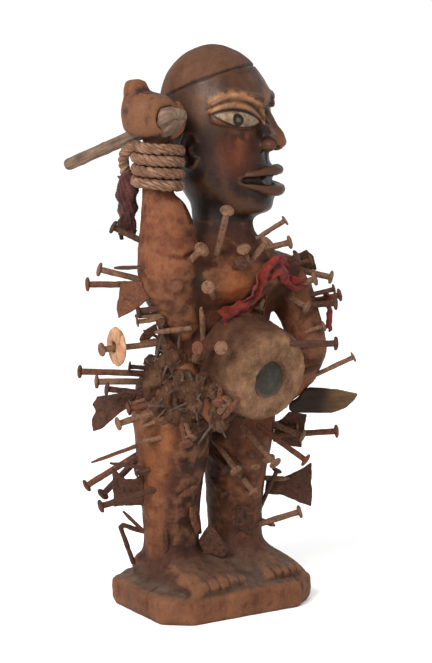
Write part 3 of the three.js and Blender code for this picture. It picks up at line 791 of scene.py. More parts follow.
def nail_tree():
    """One nail along +Z: a shank, bent a little, and a head beaten out of round."""
    make, given, result = new_group("Driven_nail", [
        ("Length", "Float", 0.05), ("Sunk", "Float", 0.006), ("Shank", "Float", 0.0024),
        ("Point", "Float", 1.0), ("Head", "Float", 0.0052), ("Head Height", "Float", 0.0022),
        ("Bend", "Float", 0.0), ("Sides", "Int", 12), ("Wear", "Float", 0.0004),
        ("Seed", "Float", 0.0), ("Material", "Material", None),
    ])

    def upright(x, z):
        return make.step("ShaderNodeCombineXYZ", {"X": x, "Z": z})

    length = given["Length"]
    end = upright(0.0, length)
    shank = make.step("GeometryNodeCurveQuadraticBezier", {
        "Resolution": 12, "Start": upright(0.0, make.math("MULTIPLY", given["Sunk"], -1.0)),
        "Middle": upright(given["Bend"], make.math("MULTIPLY", length, 0.5)), "End": end,
    })
    along = make.step("GeometryNodeSplineParameter")
    taper = make.step("ShaderNodeMapRange", {
        "Value": along, "From Min": 0.8, "From Max": 1.0, "To Min": 1.0, "To Max": given["Point"],
    })
    skin = sized_curve(make, shank, make.math("MULTIPLY", given["Shank"], taper), given["Sides"])
    low = upright(0.0, make.math("SUBTRACT", length, given["Head Height"]))
    joined = make.add("GeometryNodeJoinGeometry")
    make.put(joined.inputs[0], skin)
    make.put(joined.inputs[0], nail_head(make, given, low, end, along))
    cloud = centred_noise(make, {"W": given["Seed"], "Scale": 190.0, "Detail": 2.0}, noise_dimensions="4D")
    shift = make.vector("SCALE", cloud, make.math("MULTIPLY", given["Wear"], 4.0))
    worn = make.step("GeometryNodeSetPosition", {"Geometry": joined.outputs[0], "Offset": shift})
    return end_group(make, worn, given["Material"], result)


def strand_tree():
    """Strands twisted round the piece's own line, with their place stored for the fibres."""
    make, given, result = new_group("Twisted_strands", [
        ("Geometry", "Geometry", None), ("Strands", "Int", 3), ("Lay", "Float", 0.024),
        ("Radius", "Float", 0.0055), ("Strand", "Float", 0.0031), ("Sides", "Int", 10),
        ("Step", "Float", 0.0015), ("Material", "Material", None),
    ])
    even = make.step("GeometryNodeResampleCurve", {
        "Curve": given["Geometry"], "Length": given["Step"]}, mode="LENGTH")
    copies = make.add("GeometryNodeDuplicateElements", {
        "Geometry": even, "Amount": given["Strands"]}, domain="SPLINE")
    distance = make.add("GeometryNodeSplineParameter").outputs["Length"]
    turns = make.math("DIVIDE", distance, given["Lay"])
    phase = make.math("DIVIDE", copies.outputs["Duplicate Index"], given["Strands"])
    angle = make.math("MULTIPLY", make.math("ADD", turns, phase), 2 * math.pi)
    normal = make.step("GeometryNodeInputNormal")
    cross = make.vector("CROSS_PRODUCT", make.step("GeometryNodeInputTangent"), normal)
    reach = make.math("SUBTRACT", given["Radius"], given["Strand"])
    shares = [make.math("MULTIPLY", make.math(wave, angle), reach) for wave in ("COSINE", "SINE")]
    out = make.vector("ADD", make.vector("SCALE", normal, shares[0]), make.vector("SCALE", cross, shares[1]))
    wound = make.step("GeometryNodeSetPosition", {"Geometry": copies.outputs[0], "Offset": out})
    kept = make.step("GeometryNodeStoreNamedAttribute", {
        "Geometry": wound, "Name": "along", "Value": distance}, data_type="FLOAT", domain="POINT")
    skin = sized_curve(make, kept, given["Strand"], given["Sides"])
    return end_group(make, skin, given["Material"], result)


def crumb_tree():
    """Chips and crumbs strewn over the piece's faces, thick where its strewn number is high."""
    make, given, result = new_group("Strewn_crumbs", [
        ("Geometry", "Geometry", None), ("Density", "Float", 40000.0), ("Size", "Float", 0.0016),
        ("Seed", "Int", 1), ("Material", "Material", None),
    ])

    def drawn(low, high):
        """A random vector for each crumb."""
        return make.step("FunctionNodeRandomValue", {
            "Min": low, "Max": high, "Seed": given["Seed"]}, data_type="FLOAT_VECTOR")

    amount = make.step("GeometryNodeInputNamedAttribute", {"Name": "strewn"}, data_type="FLOAT")
    strewn = make.add("GeometryNodeDistributePointsOnFaces", {
        "Mesh": given["Geometry"], "Density": make.math("MULTIPLY", given["Density"], amount),
        "Seed": given["Seed"],
    }, distribute_method="RANDOM")
    chip = make.add("GeometryNodeMeshIcoSphere", {"Radius": 1.0, "Subdivisions": 1}).outputs["Mesh"]
    rough = make.step("GeometryNodeSetPosition", {
        "Geometry": chip, "Offset": centred_noise(make, {"Scale": 1.3})})
    size = make.vector("SCALE", drawn((0.5, 0.5, 0.4), (1.6, 1.2, 1.0)), given["Size"])
    placed = make.step("GeometryNodeInstanceOnPoints", {
        "Points": strewn.outputs["Points"], "Instance": rough, "Scale": size,
        "Rotation": drawn((0.0, 0.0, 0.0), (6.28, 6.28, 6.28)),
    })
    return end_group(make, placed, given["Material"], result)


# Settings

def length_setting(name, description, default, low=0.0, high=1.0):
    return FloatProperty(name=name, description=description, default=default,
                         min=low, max=high, unit="LENGTH")


def colour_setting(name, description, default):
    return FloatVectorProperty(name=name, description=description, default=rgb(default), size=3,
                               min=0.0, max=1.0, subtype="COLOR")


class CarvingSettings(bpy.types.PropertyGroup):
    """Sizes and colours of the carved wood"""

    voxel: length_setting("Finest detail", "Size of the carved skin's faces", 0.0012, 0.0005, 0.01)
    triangles: IntProperty(name="Triangles", description="Most triangles of the carved body",
                           default=185000, min=1000, max=199000)
    edges: FloatProperty(name="Base edges", description="How sharp the base's edges are kept",
                         default=0.5, min=0.0, max=1.0, subtype="FACTOR")
    tool_marks: length_setting("Tool marks", "Depth of the adze's marks", 0.0008, 0.0, 0.005)
    body: colour_setting("Body", "Oiled wood of the trunk and the arms", "85543a")
    face: colour_setting("Face", "Darkened wood of the face", "38241b")
    cap: colour_setting("Cap", "Dull wood of the cap", "6b5243")
    base: colour_setting("Base", "Dusty wood of the base and the feet", "6a5444")


class IronSettings(bpy.types.PropertyGroup):
    """Sizes of the iron that is driven in"""

    sunk: length_setting("Sunk", "How deep a nail goes into the wood", 0.006, 0.001, 0.03)
    wear: length_setting("Wear", "How far rust has eaten the iron", 0.0004, 0.0, 0.003)
    seed: IntProperty(name="Seed", description="Start of the random draws", default=7, min=0)


class RopeSettings(bpy.types.PropertyGroup):
    """Sizes of the rope"""

    strands: IntProperty(name="Strands", description="Strands twisted together", default=3, min=2, max=5)
    lay: length_setting("Lay", "Length of one twist", 0.021, 0.005, 0.1)


class StudioSettings(bpy.types.PropertyGroup):
    """Light and camera"""

    lens: FloatProperty(name="Lens", description="Focal length of the camera in millimetres",
                        default=108.6, min=20.0, max=300.0)
    key: FloatProperty(name="Key light", description="Strength of the main light", default=80.0,
                       min=0.0, subtype="POWER")
    fill: FloatProperty(name="Fill light", description="Strength of the fill light", default=2.0,
                        min=0.0, subtype="POWER")
    sky: FloatProperty(name="Backdrop", description="Strength of the pale surroundings",
                       default=1.06, min=0.0)


# The carved figure

def head_shapes():
    """Nose, lips, lids, brows and ears, in the head's own frame."""
    nose = [((0, -48, 112), 5, 5), ((0, -55, 100), 6.2, 6), ((0, -61, 88), 7, 7),
            ((0, -66.5, 78), 8.6, 7.5), ((0, -68, 70), 6, 5)]
    shapes = [bar(nose, up=(1, 0, 0)), ball((0, -69, 74.5), (8, 7.5, 6.8))]
    for side in (-1, 1):
        shapes.append(ball((side * 10.5, -62, 71.5), (6.6, 8.5, 6.4), side * 0.4))
        shapes += [eye_ball(side), *lids(side), *ear(side), *brows(side)]
    return [*shapes, lip(*MOUTH["upper"]), lip(*MOUTH["lower"])]


def eye_place(side, along, up, out):
    """A point by the eye: along its slit, up and out of the head."""
    sin, cos = math.sin(EYE["turn"]), math.cos(EYE["turn"])
    x, y, z = EYE["at"]
    return side * (x + along * cos + out * sin), y + along * sin - out * cos, z + up + along * EYE["slant"]


def eye_ball(side):
    return ball(eye_place(side, 0, 0, -3.0), (EYE["half"] + 1, 11.5, EYE["high"] + 2), side * EYE["turn"])


def lids(side):
    """The two lids: bars that follow the eye's almond outline."""
    shapes = []
    for way, thick, lift in ((1, 2.6, 1.6), (-1, 1.1, 0.5)):
        stations = []
        for share in np.linspace(-1.04, 1.04, 9):
            rise = way * (EYE["high"] + lift) * max(1 - abs(share) ** EYE_BOW, 0)
            middle = eye_place(side, share * EYE["half"], rise, 5.4 - 7.2 * share**2)
            stations.append((middle, thick * (1.1 - 0.5 * share**2), thick))
        shapes.append(bar(stations, sides=10))
    return shapes


def brows(side):
    """Two ridges over the eye, each bent round the head."""
    shapes = []
    for lift, thick in ((0, 2.3), (6.5, 2.2)):
        stations = []
        for share in np.linspace(0, 1, 8):
            angle = math.radians(13 + 62 * share)
            rise = 9 * math.sin(math.pi * share) - 5 * share
            middle = (side * 51.5 * math.sin(angle), -3 - 56.5 * math.cos(angle), 109 + lift + rise)
            stations.append((middle, thick, thick))
        shapes.append(bar(stations, sides=10))
    return shapes


def ear(side):
    """The ear's rim, a C open to the front, and the lobe inside it."""
    rim = []
    for share in np.linspace(-1, 1, 11):
        angle = math.radians(150 * share)
        middle = (side * 47, 5 + 9 * math.cos(angle), 67 + 16.5 * math.sin(angle))
        rim.append((middle, 3.0, 3.4 - 0.8 * abs(share)))
    lobe = [((side * 46.5, 1, 76), 2, 2), ((side * 48, 6, 68), 2.4, 2.4), ((side * 46.5, 2, 58), 2, 2)]
    return [bar(line, sides=10, up=(1, 0, 0)) for line in (rim, lobe)]


def lip(middle, front, thick, corner):
    """A lip bows forward between the corners of the mouth and thins towards them."""
    stations = []
    for share in np.linspace(-1, 1, 9):
        bow = 1 - abs(share) ** 2.2
        forward = MOUTH["corner"] + (front - MOUTH["corner"]) * bow
        place = (share * MOUTH["half"], -forward, corner + (middle - corner) * bow)
        stations.append((place, 2.5 + 4.5 * bow, thick * (0.34 + 0.6 * bow)))
    return bar(stations)


def finger_shapes():
    """Fingers of the raised fist, bent round the stick."""
    x, y, z = FIST_AT
    return [
        bar([((x + 16, front, z + 12), 6, 6), ((x + 23, front, z + 2), 6.6, 6.6),
             ((x + 20, front, z - 11), 6, 6), ((x + 10, front, z - 17), 5, 5)], up=(0, 1, 0), sides=14)
        for front in (y - 19, y - 6.5, y + 6, y + 18.5)
    ]


def across_toes(middle, half, share):
    """The x of a place across a foot's toes, from 0 on its right to 1 on its left."""
    return middle + (share - 0.5) * FEET["spread"] * half


def toe_shapes():
    """Toes side by side on the front of each foot."""
    shapes, top, toes = [], FEET["top"], FEET["toes"]
    for middle, half in FEET["middles_and_halves"]:
        wide = half / toes * 0.86
        for toe in range(toes):
            x = across_toes(middle, half, (toe + 0.5) / toes)
            shapes.append(bar([
                ((x, -40, top - 11), wide, 7), ((x, -50, top - 12), wide * 1.1, 7),
                ((x, -58, top - 14), wide * 1.1, 6), ((x, -62, top - 16), wide * 0.9, 3.5),
            ], sides=14, power=2.4))
    return shapes


def on_head(own, head, low, side):
    """Whether a point belongs to the head: above its jaw and clear of the raised arm."""
    return (head[:, 2] > low) & (np.hypot(head[:, 0], head[:, 1]) < HEAD_REACH) & (own[:, 0] > side)


def almond(head):
    """Millimetres outside the eye's outline and the pupil's, and the place along, up and out."""
    sin, cos = math.sin(EYE["turn"]), math.cos(EYE["turn"])
    x, y, z = EYE["at"]
    aside = np.abs(head[:, 0]) - x
    ahead = head[:, 1] - y
    along = aside * cos + ahead * sin
    out = aside * sin - ahead * cos
    up = head[:, 2] - z - along * EYE["slant"]
    share = np.clip(np.abs(along) / EYE["half"], 0, 1.4)
    edge = np.abs(up) - EYE["high"] * (1 - share**EYE_BOW)
    far = np.maximum(np.abs(along) - EYE["half"], -out - 4)
    edge = np.where(out < -6, 20.0, np.maximum(edge, far))
    pupil = np.hypot((along - PUPIL["at"]) / PUPIL["half"], (up - PUPIL["up"]) / PUPIL["high"]) - 1
    return edge, pupil * PUPIL["half"], along, up, out


def cap_edge(head):
    """Millimetres above the cap's slanting rim."""
    return head[:, 1] * math.sin(CAP["slope"]) + (head[:, 2] - CAP["high"]) * math.cos(CAP["slope"])


def carve_face(head):
    """The depth in millimetres of the lines that are cut into the face."""
    edge, _, along, up, out = almond(head)
    near = (out > -8) & (np.abs(along) < 34) & (np.abs(up) < 26)
    fold = up - 17 * (1 - (along / 34) ** 2)
    cut = near * (1.5 * bell(edge - 0.4, 0.9) * smooth_step(-6, 0, out) + 1.3 * bell(fold, 1.0))
    lips_part = [(-30, -46, 38.5), (-18, -62, 37.5), (0, -70, 37), (18, -62, 37.5), (30, -46, 38.5)]
    cut += 5.0 * streak(head, lips_part, 3.4)
    for side in (-1, 1):
        cut += 3.0 * spot(head, (side * 6.5, -69, 67.5), 3.0)
        cut += streak(head, [(side * 50, 3, 75), (side * 50, 7, 67), (side * 50, 3, 59)], 2.5)
    groove = np.abs(head[:, 0]) + np.maximum(head[:, 2] - 66, 0) + np.maximum(52 - head[:, 2], 0)
    cut += 1.3 * bell(groove, 3.0) * (head[:, 1] < -45)
    return cut + 1.6 * bell(cap_edge(head) + 1.0, 1.2)


def carve_body(own):
    """The depth in millimetres of the creases, holes, chips and cracks of the rest."""
    x, y, z = own.T
    cut = 2.6 * streak(own, [(-99, -34, 370), (-88, -48, 364), (-72, -54, 362), (-58, -50, 364)], 2.6)
    cut += 3.0 * streak(own, [(-48, -30, 298), (-46, -44, 272), (-40, -54, 244), (-32, -58, 222)], 4.0)
    cut += 6.0 * spot(own, (-78, 0, 150), 3.6)
    pit = place_distance(own, (-60, -30, 139), (1.6, 1, 1))
    cut += 2.2 * bell(pit + 2 * lumps(own, 5, 4), 5.0)
    toes = (z > 30) * (z < 48) * smooth_step(-46, -54, y)
    for middle, half in FEET["middles_and_halves"]:
        for toe in range(1, FEET["toes"]):
            groove = across_toes(middle, half, toe / FEET["toes"])
            cut += 0.9 * toes * bell(x - groove + lumps(own, 8, 7), 1.3)
    chips = smooth_step(0.2, 0.6, lumps(own, 16, 11)) * smooth_step(-0.1, 0.5, lumps(own, 5, 12))
    cut += 0.9 * chips * smooth_step(32, 26, z) * smooth_step(-0.2, 0.4, lumps(own, 40, 13))
    front_crack = bell(x + 0.25 * z - 66 + 2 * lumps(own, 9, 5), 0.9)
    side_crack = bell(y + 20 - 0.2 * z + 2 * lumps(own, 9, 6), 0.9)
    return cut + 2.5 * front_crack * (z < 31) * (y < 0) + 1.8 * side_crack * (z < 30) * (x < -60)


class Tones:
    """A colour at each point, with other colours laid over it."""

    def __init__(self, count, colour):
        self.colours = np.tile(np.array(colour), (count, 1))

    def lay(self, share, hue):
        """Lays a hex colour or a setting's colour over the one so far."""
        share = np.clip(share, 0, 1)[:, None]
        hue = rgb(hue) if isinstance(hue, str) else hue
        self.colours = self.colours * (1 - share) + np.array(hue) * share


def body_tones(tones, settings, own):
    """Colours the base, the legs, the trunk and the arms, with painted light and shade on the legs and
    painted light on the chest's bulge.
    """
    x, y, z = own.T
    cloud = lumps(own, 30, 21)
    tones.lay(smooth_step(170, 60, z + 20 * cloud) * 0.75, "6b4b3a")
    tones.lay(smooth_step(50, 34, z + 8 * cloud), settings.base[:])
    tones.lay(smooth_step(30, 24, z + 3 * cloud) * 0.8, "a87858")
    chest = smooth_step(300, 318, z) * smooth_step(385, 366, z) * smooth_step(-66, -52, x)
    tones.lay(chest * smooth_step(-20, -34, y) * 0.7, "5c3a28")
    # Orange on the chest's bulge: partly its own colour, partly painted light.
    tones.lay(spot(own, (-20, -67, 332), 20) * 0.9, "b8662e")
    arm = smooth_step(-34, -50, x) * smooth_step(255, 280, z) * smooth_step(430, 400, z)
    tones.lay(arm * 0.5, "9a6040")
    tones.lay(arm * smooth_step(362, 312, z) * 0.75, "5c3a28")
    raised = smooth_step(-45, -58, x)
    tones.lay(smooth_step(462, 478, z) * raised, "6e5648")
    block = smooth_step(508, 518, z) * raised
    tones.lay(block * 0.8, "463830")
    tones.lay(block * smooth_step(0.35, 0.6, lumps(own, 5, 23)), "a8602e")
    tones.lay(spot(own, (-52, -6, 250), 34, (1, 1, 1.6)) * 0.6, "4f382b")
    shin = smooth_step(50, 66, z) * smooth_step(205, 185, z)
    # Painted light: the near leg's outer side, which faces the key light, is lightened.
    tones.lay(smooth_step(-58, -68, x) * shin * smooth_step(25, 5, y) * 0.7, "b87c4e")
    # The near leg's other half darkened: partly dirt, partly painted shade.
    tones.lay(smooth_step(-64, -50, x) * smooth_step(-8, -18, x) * shin * 0.8, "382218")
    tones.lay(streak(own, [(-62, -42, 288), (-34, -60, 196)], 13) * 0.55, "5c4030")
    tones.lay(spot(own, (-52, -50, 338), 17) * 0.8, "3c352b")
    tones.lay(spot(own, (82, -60, 284), 26, (1, 1, 1.4)) * 0.85, "4a241c")
    # Painted shade between the legs.
    tones.lay(bell(x, 16) * smooth_step(210, 185, z) * smooth_step(40, 60, z) * 0.8, "2c1d16")
    tones.lay(smooth_step(366, 386, z) * smooth_step(50, 40, np.abs(x)) * 0.85, "402a20")


def face_tones(tones, settings, own, head, mask):
    """Colours the face under the cap: its cheek, temple, brow and nose, with painted shade over the lower
    face and painted highlights on the temple and the nose tip.
    """
    face = smooth_step(-3, -1.5, -cap_edge(head)) * mask
    tones.lay(mask, settings.face[:])
    # Darker towards the jaw: partly the wood's darker tone, partly painted shade.
    tones.lay(smooth_step(66, 18, head[:, 2]) * face * 0.82, "1e130e")
    tones.lay(spot(head, (-38, -42, 62), 19, (1, 1, 1.1)) * face * 0.75, "7a3c1e")
    # Painted highlight: the pale sheen on the temple.
    tones.lay(spot(head, (-48, -12, 112), 18) * face * 0.6, "c0a490")
    tones.lay(spot(head, (-26, -44, 124), 17) * face * 0.4, "a07858")
    patchy = smooth_step(-0.3, 0.5, lumps(own, 5, 22))
    tones.lay(spot(head, (-30, -44, 82), 12) * patchy * face * 0.7, "b87840")
    tones.lay(spot(head, (-3, -57, 118), 9) * face * 0.6, "c08850")
    eye_tones(tones, head, face)
    # Painted highlight on the tip of the nose.
    tones.lay(spot(head, (0, -74, 74), 9) * 0.6, "d09058")


def eye_tones(tones, head, face):
    """Colours the lids and the scalloped brow in ochre and black, with the upper lid's shadow painted as a
    black band just above the eye.
    """
    edge, _, along, up, out = almond(head)
    beside = (out > -6) * (np.abs(along) < 32) * face
    arch = up - 17.5 * (1 - (along / 36) ** 2)
    scallop = smooth_step(0.0, 0.5, np.sin(along * 0.62))
    tones.lay(bell(edge - 5, 2.6) * (up > 0) * beside * 0.85, "f0c290")
    tones.lay(bell(edge - 3, 2.2) * (up < 0) * beside * 0.4, "7a4a2c")
    # Painted shadow: the upper lid's shadow, just above the eye.
    tones.lay(bell(edge - 1.2, 1.1) * (up > 0) * beside, "120a07")
    tones.lay(bell(arch - 6, 3.4) * beside * 0.85, "f0c290")
    tones.lay(bell(arch - 8.5, 1.8) * beside * scallop * 0.8, "3a1d10")


def lip_tones(tones, own, head, mask):
    """Colours the lips, with painted highlights in pale lines along them."""
    lower = streak(head, [(-26, -50, 31), (-14, -66, 27), (0, -72, 25), (14, -66, 27)], 5)
    upper = streak(head, [(-28, -48, 40), (-14, -64, 45), (0, -70, 47), (14, -64, 45)], 5)
    tones.lay(lower * mask * 0.85, "3a2c22")
    tones.lay(upper * mask * 0.9, "241a15")
    patchy = smooth_step(-0.3, 0.3, lumps(own, 4, 24)) * mask
    # Painted highlights: pale lines along the ridges of the lips.
    for high, ahead in ((52, 66), (30, 68)):
        ridge = [(-24, -50, high - 5), (-13, -ahead + 5, high - 1), (0, -ahead - 3, high)]
        tones.lay(streak(head, ridge, 1.6) * patchy * 0.75, "b09a7c")


class NKISI_OT_carve(bpy.types.Operator):
    """Carves the body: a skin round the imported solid, with the face, hands and feet cut in"""

    bl_idname = "nkisi.carve"
    bl_label = "Carved figure"

    def execute(self, context):
        settings = context.scene.nkisi_carving
        body = remeshed(self.joined(settings), settings.voxel)
        self.cut(body.data, settings)
        decimated(body, settings.triangles)
        self.paint(body.data, settings)
        finished(body, finish("wood"), ["figure"])
        return {"FINISHED"}

    def joined(self, settings):
        """The solid, softened except at its base's edges and the stick's bore, with its features."""
        rough = remeshed(node_copy("figure", "rough_body"), SKIN["body"])
        mesh = rough.data
        sharp = points_of(mesh)
        edges = smooth_step(0.034, 0.026, sharp[:, 2]) * settings.edges
        bore = line_distance(from_row(sharp), [STICK["back"], STICK["front"]])
        keep = np.maximum(edges, smooth_step(13, 8, bore))[:, None]
        points = smoothed_points(mesh, 22) * (1 - keep) + sharp * keep
        shapes = [(points, [tuple(p.vertices) for p in mesh.polygons])]
        shapes += [moved(s, lambda p: to_row(from_head(p))) for s in head_shapes()]
        shapes += [moved(s, to_row) for s in finger_shapes() + toe_shapes()]
        bpy.data.objects.remove(rough)
        return from_shapes("carved_figure", shapes)

    def cut(self, mesh, settings):
        """Cuts lines and tool marks into the skin, and keeps the base's underside flat."""
        own = softened(mesh, 2)
        head = to_head(own)
        mask = on_head(own, head, -4, -62)
        calm = np.where(mask, 0.25, 1.0)
        depth = mask * carve_face(head) + carve_body(own)
        marks = lumps(own, 13, 31) + 0.5 * lumps(own, 6, 32)
        depth += settings.tool_marks / MM * marks * calm + (0.1 + 0.14 * calm) * lumps(own, 2.4, 33)
        pushed(mesh, -depth)
        points = points_of(mesh)
        points[:, 2] = np.where(own[:, 2] < 1.5, 0.0, np.maximum(points[:, 2], 0.0))
        set_points(mesh, points)

    def paint(self, mesh, settings):
        """Stores the colours and the numbers that the wood's finish reads."""
        own = from_row(points_of(mesh))
        head = to_head(own)
        mask = on_head(own, head, -2, -60).astype(float)
        tones = Tones(len(own), settings.body[:])
        body_tones(tones, settings, own)
        face_tones(tones, settings, own, head, mask)
        lip_tones(tones, own, head, mask)
        tones.lay(smooth_step(-1.5, 0.5, cap_edge(head)) * mask, settings.cap[:])
        add_colours(mesh, "tint", tones.colours * np.array(OILED))
        calm = smooth_step(24, 32, own[:, 2])
        # Painted shade in the creases and the wide hollows, faint on the base's sides.
        wide = hollows(mesh, 40)
        deep = smooth_step(0.0001, 0.0008, hollows(mesh, 5)) * 0.7 + smooth_step(0.0004, 0.004, wide) * 0.55
        add_numbers(mesh, "shade_and_tone", np.clip(deep * (0.06 + 0.94 * calm), 0, 0.92))
        add_numbers(mesh, "worn", smooth_step(-0.0002, -0.0012, wide) * (1 - 0.6 * mask) * (0.3 + 0.7 * calm))
        upward = smooth_step(0.55, 0.95, normals_of(mesh)[:, 2])
        add_numbers(mesh, "dust", upward * smooth_step(90, 30, own[:, 2]))
        add_numbers(mesh, "gloss", np.clip(mask * smooth_step(2, -2, cap_edge(head)) * 0.9 + 0.25, 0, 1))
        edge, pupil, *_ = almond(head)
        add_numbers(mesh, "eye_edge", np.where(mask > 0, edge + 1.2, 20))
        add_numbers(mesh, "pupil_edge", np.where((mask > 0) & (edge < 6), pupil, 20))


# The pack, the mirror and the stick

class NKISI_OT_pack(bpy.types.Operator):
    """Builds up the resin pack on the belly and sets the clouded glass in its rim"""

    bl_idname = "nkisi.pack"
    bl_label = "Belly pack and mirror"

    def execute(self, context):
        pack = remeshed(node_copy("belly_pack", "resin_pack"), SKIN["pack"])
        mesh = pack.data
        own = softened(mesh, 6)
        off_rim = np.hypot(own[:, 0] - PACK_RIM["x"], own[:, 2] - PACK_RIM["z"]) - PACK_RIM["reach"]
        crust = smooth_step(24, 6, np.abs(off_rim)) * smooth_step(-60, -92, own[:, 1])
        grit = 0.7 * lumps(own, 7, 41) + 0.55 * np.abs(lumps(own, 3.2, 42)) + 0.3 * lumps(own, 1.9, 43)
        pushed(mesh, grit * (0.45 + 0.75 * (0.15 + 0.85 * crust)))
        add_numbers(mesh, "rim", crust)
        add_painted_shade(mesh, 5, 0.0011, 0.8)
        finished(pack, finish("resin"), ["belly_pack"])
        self.glass()
        return {"FINISHED"}

    def glass(self):
        """A slightly bulged disc with a rounded rim."""
        rings, sides = 14, 64
        x, y, z = MIRROR["at"]
        edge, thick, bulge = MIRROR["radius"], MIRROR["thick"], MIRROR["bulge"]
        profile = [(edge * i / rings, bulge * (1 - (i / rings) ** 2)) for i in range(1, rings)]
        profile += [(edge - 0.1, -0.4), (edge, -thick / 2), (edge - 0.5, -thick)]
        radius, out = np.array(profile).T
        angle = np.linspace(0, 2 * math.pi, sides, endpoint=False)
        points = np.stack([
            x + np.outer(radius, np.cos(angle)), np.outer(y - out, np.ones(sides)),
            z + np.outer(radius, np.sin(angle)),
        ], axis=-1).reshape(-1, 3)
        points = np.vstack([points, [(x, y - bulge, z), (x, y + thick, z)]])
        last = (len(profile) - 1) * sides
        faces = fan_faces(0, sides, len(points) - 2)
        faces += turned_over(ring_faces(len(profile), sides) + fan_faces(last, sides, len(points) - 1))
        piece = from_shapes("mirror_disc", [(to_row(points), faces)])
        far = np.hypot(points[:, 0] - x, points[:, 2] - z)
        add_numbers(piece.data, "rim", smooth_step(edge - 3.5, edge - 0.5, far) * 0.8)
        finished(piece, finish("glass"), ["mirror"], 50)


class NKISI_OT_stick(bpy.types.Operator):
    """Shapes the stick in the raised fist, with its worn wedge in front"""

    bl_idname = "nkisi.stick"
    bl_label = "Stick"

    def execute(self, context):
        back, front = np.array(STICK["back"], float), np.array(STICK["front"], float)
        thick, tip = STICK["thick"] / 2, STICK["tip"] / 2
        sections = [
            (0, 0.35, 0.35, thick), (0.006, 0.8, 0.8, thick), (0.02, 1, 1, thick), (0.3, 1, 1, thick),
            (0.62, 1.2, 1.1, thick), (0.82, 0.8, 0.65, tip), (0.93, 1, 0.75, tip),
            (0.985, 0.8, 0.55, tip), (1.0, 0.5, 0.32, tip),
        ]
        stations = [
            (back + (front - back) * at, size * wide, size * deep) for at, wide, deep, size in sections
        ]
        piece = from_shapes("hand_stick", [moved(bar(stations, sides=40, dense=14), to_row)])
        mesh = piece.data
        own = from_row(points_of(mesh))
        axis = unit(front - back)
        along = (own - back) @ axis
        share = along / np.linalg.norm(front - back)
        wedge = smooth_step(0.72, 0.85, share)
        rough = 0.25 * lumps(own, 4, 51) + wedge * (3.4 * lumps(own, 15, 52) + 1.1 * lumps(own, 6, 53))
        pushed(mesh, rough + 0.5 * bell(share - 0.34, 0.02) + 0.4 * bell(share - 0.12, 0.015))
        around = own - back - along[:, None] * axis
        add_numbers(mesh, "along", along * MM)
        add_numbers(mesh, "round", np.abs(np.arctan2(around[:, 0], around[:, 2])) * 0.007)
        add_painted_shade(mesh, 4, 0.001, 0.6)
        finished(piece, finish("stick"), ["stick"])
        return {"FINISHED"}


# Rope and cloth

def rope_route():
    """The rope's line: up its tail outside the wrist, then wound down round it."""
    half, turns = ROPE["thick"] / 2, ROPE["turns"]
    reach = WRIST["radius"] + half + ROPE["gap"]
    low = WRIST["low"] + half + ROPE["gap"]
    wound = np.arange(round(turns * ROPE["per_turn"])) / ROPE["per_turn"]
    rows = ROPE_TAIL + [(reach, ROPE["start"] + 360 * t, low + ROPE["pitch"] * (turns - t)) for t in wound]
    middle = np.array((WRIST["x"], WRIST["y"], 0))
    return spline([middle + heading(bearing, 0) * away + (0, 0, z) for away, bearing, z in rows], 3)


def curve_grown(name, points, tree, values):
    """The piece that a geometry tree makes from a line through points in metres."""
    data = bpy.data.curves.new(name, "CURVE")
    data.dimensions = "3D"
    line = data.splines.new("POLY")
    line.points.add(len(points) - 1)
    line.points.foreach_set("co", np.hstack([points, np.ones((len(points), 1))]).ravel())
    guide = planted(new_object(name + "_line", data), tree, values)
    mesh = plain_mesh(guide)
    mesh.name = name
    bpy.data.objects.remove(guide)
    return new_object(name, mesh)


class NKISI_OT_rope(bpy.types.Operator):
    """Winds the twisted rope round the wrist"""

    bl_idname = "nkisi.rope"
    bl_label = "Wrist rope"

    def execute(self, context):
        settings = context.scene.nkisi_rope
        look = finish("rope")
        thick = ROPE["thick"] / 2 * MM
        piece = curve_grown("wound_rope", to_row(rope_route()), strand_tree(), {
            "Strands": settings.strands, "Lay": settings.lay, "Radius": thick, "Strand": thick * 0.55,
            "Sides": 12, "Step": 0.0012, "Material": look,
        })
        mesh = piece.data
        own = from_row(points_of(mesh))
        add_numbers(mesh, "round", normals_of(mesh)[:, 2] * 0.003)
        pushed(mesh, 0.3 * lumps(own, 1.8, 61) + 0.45 * lumps(own, 4, 62), drift(own, 13, 63) * 0.55)
        # Painted shade on the rope where it lies against the wrist and in the grooves between its turns.
        far = np.hypot(own[:, 0] - WRIST["x"], own[:, 1] - WRIST["y"]) - WRIST["radius"]
        rows = np.abs((own[:, 2] - WRIST["low"]) / ROPE["pitch"] % 1 - 0.5)
        add_numbers(mesh, "shade_and_tone", smooth_step(9.5, 5.0, far) * 0.8 * smooth_step(0.2, 0.5, rows))
        finished(piece, look, ["wrist_rope"])
        return {"FINISHED"}


RED_RAG = [
    (-30, -58, 299), (-16, -61, 304), (-2, -62, 312), (2, -73, 326), (5, -79, 340),
    (19, -78, 349), (34, -73, 347), (46, -64, 333), (58, -64, 328), (69, -64, 331),
]
RED_RAG_TAIL = [(98, -58, 316), (101, -60, 306), (102, -61, 296), (101, -60, 286), (102, -59, 278)]


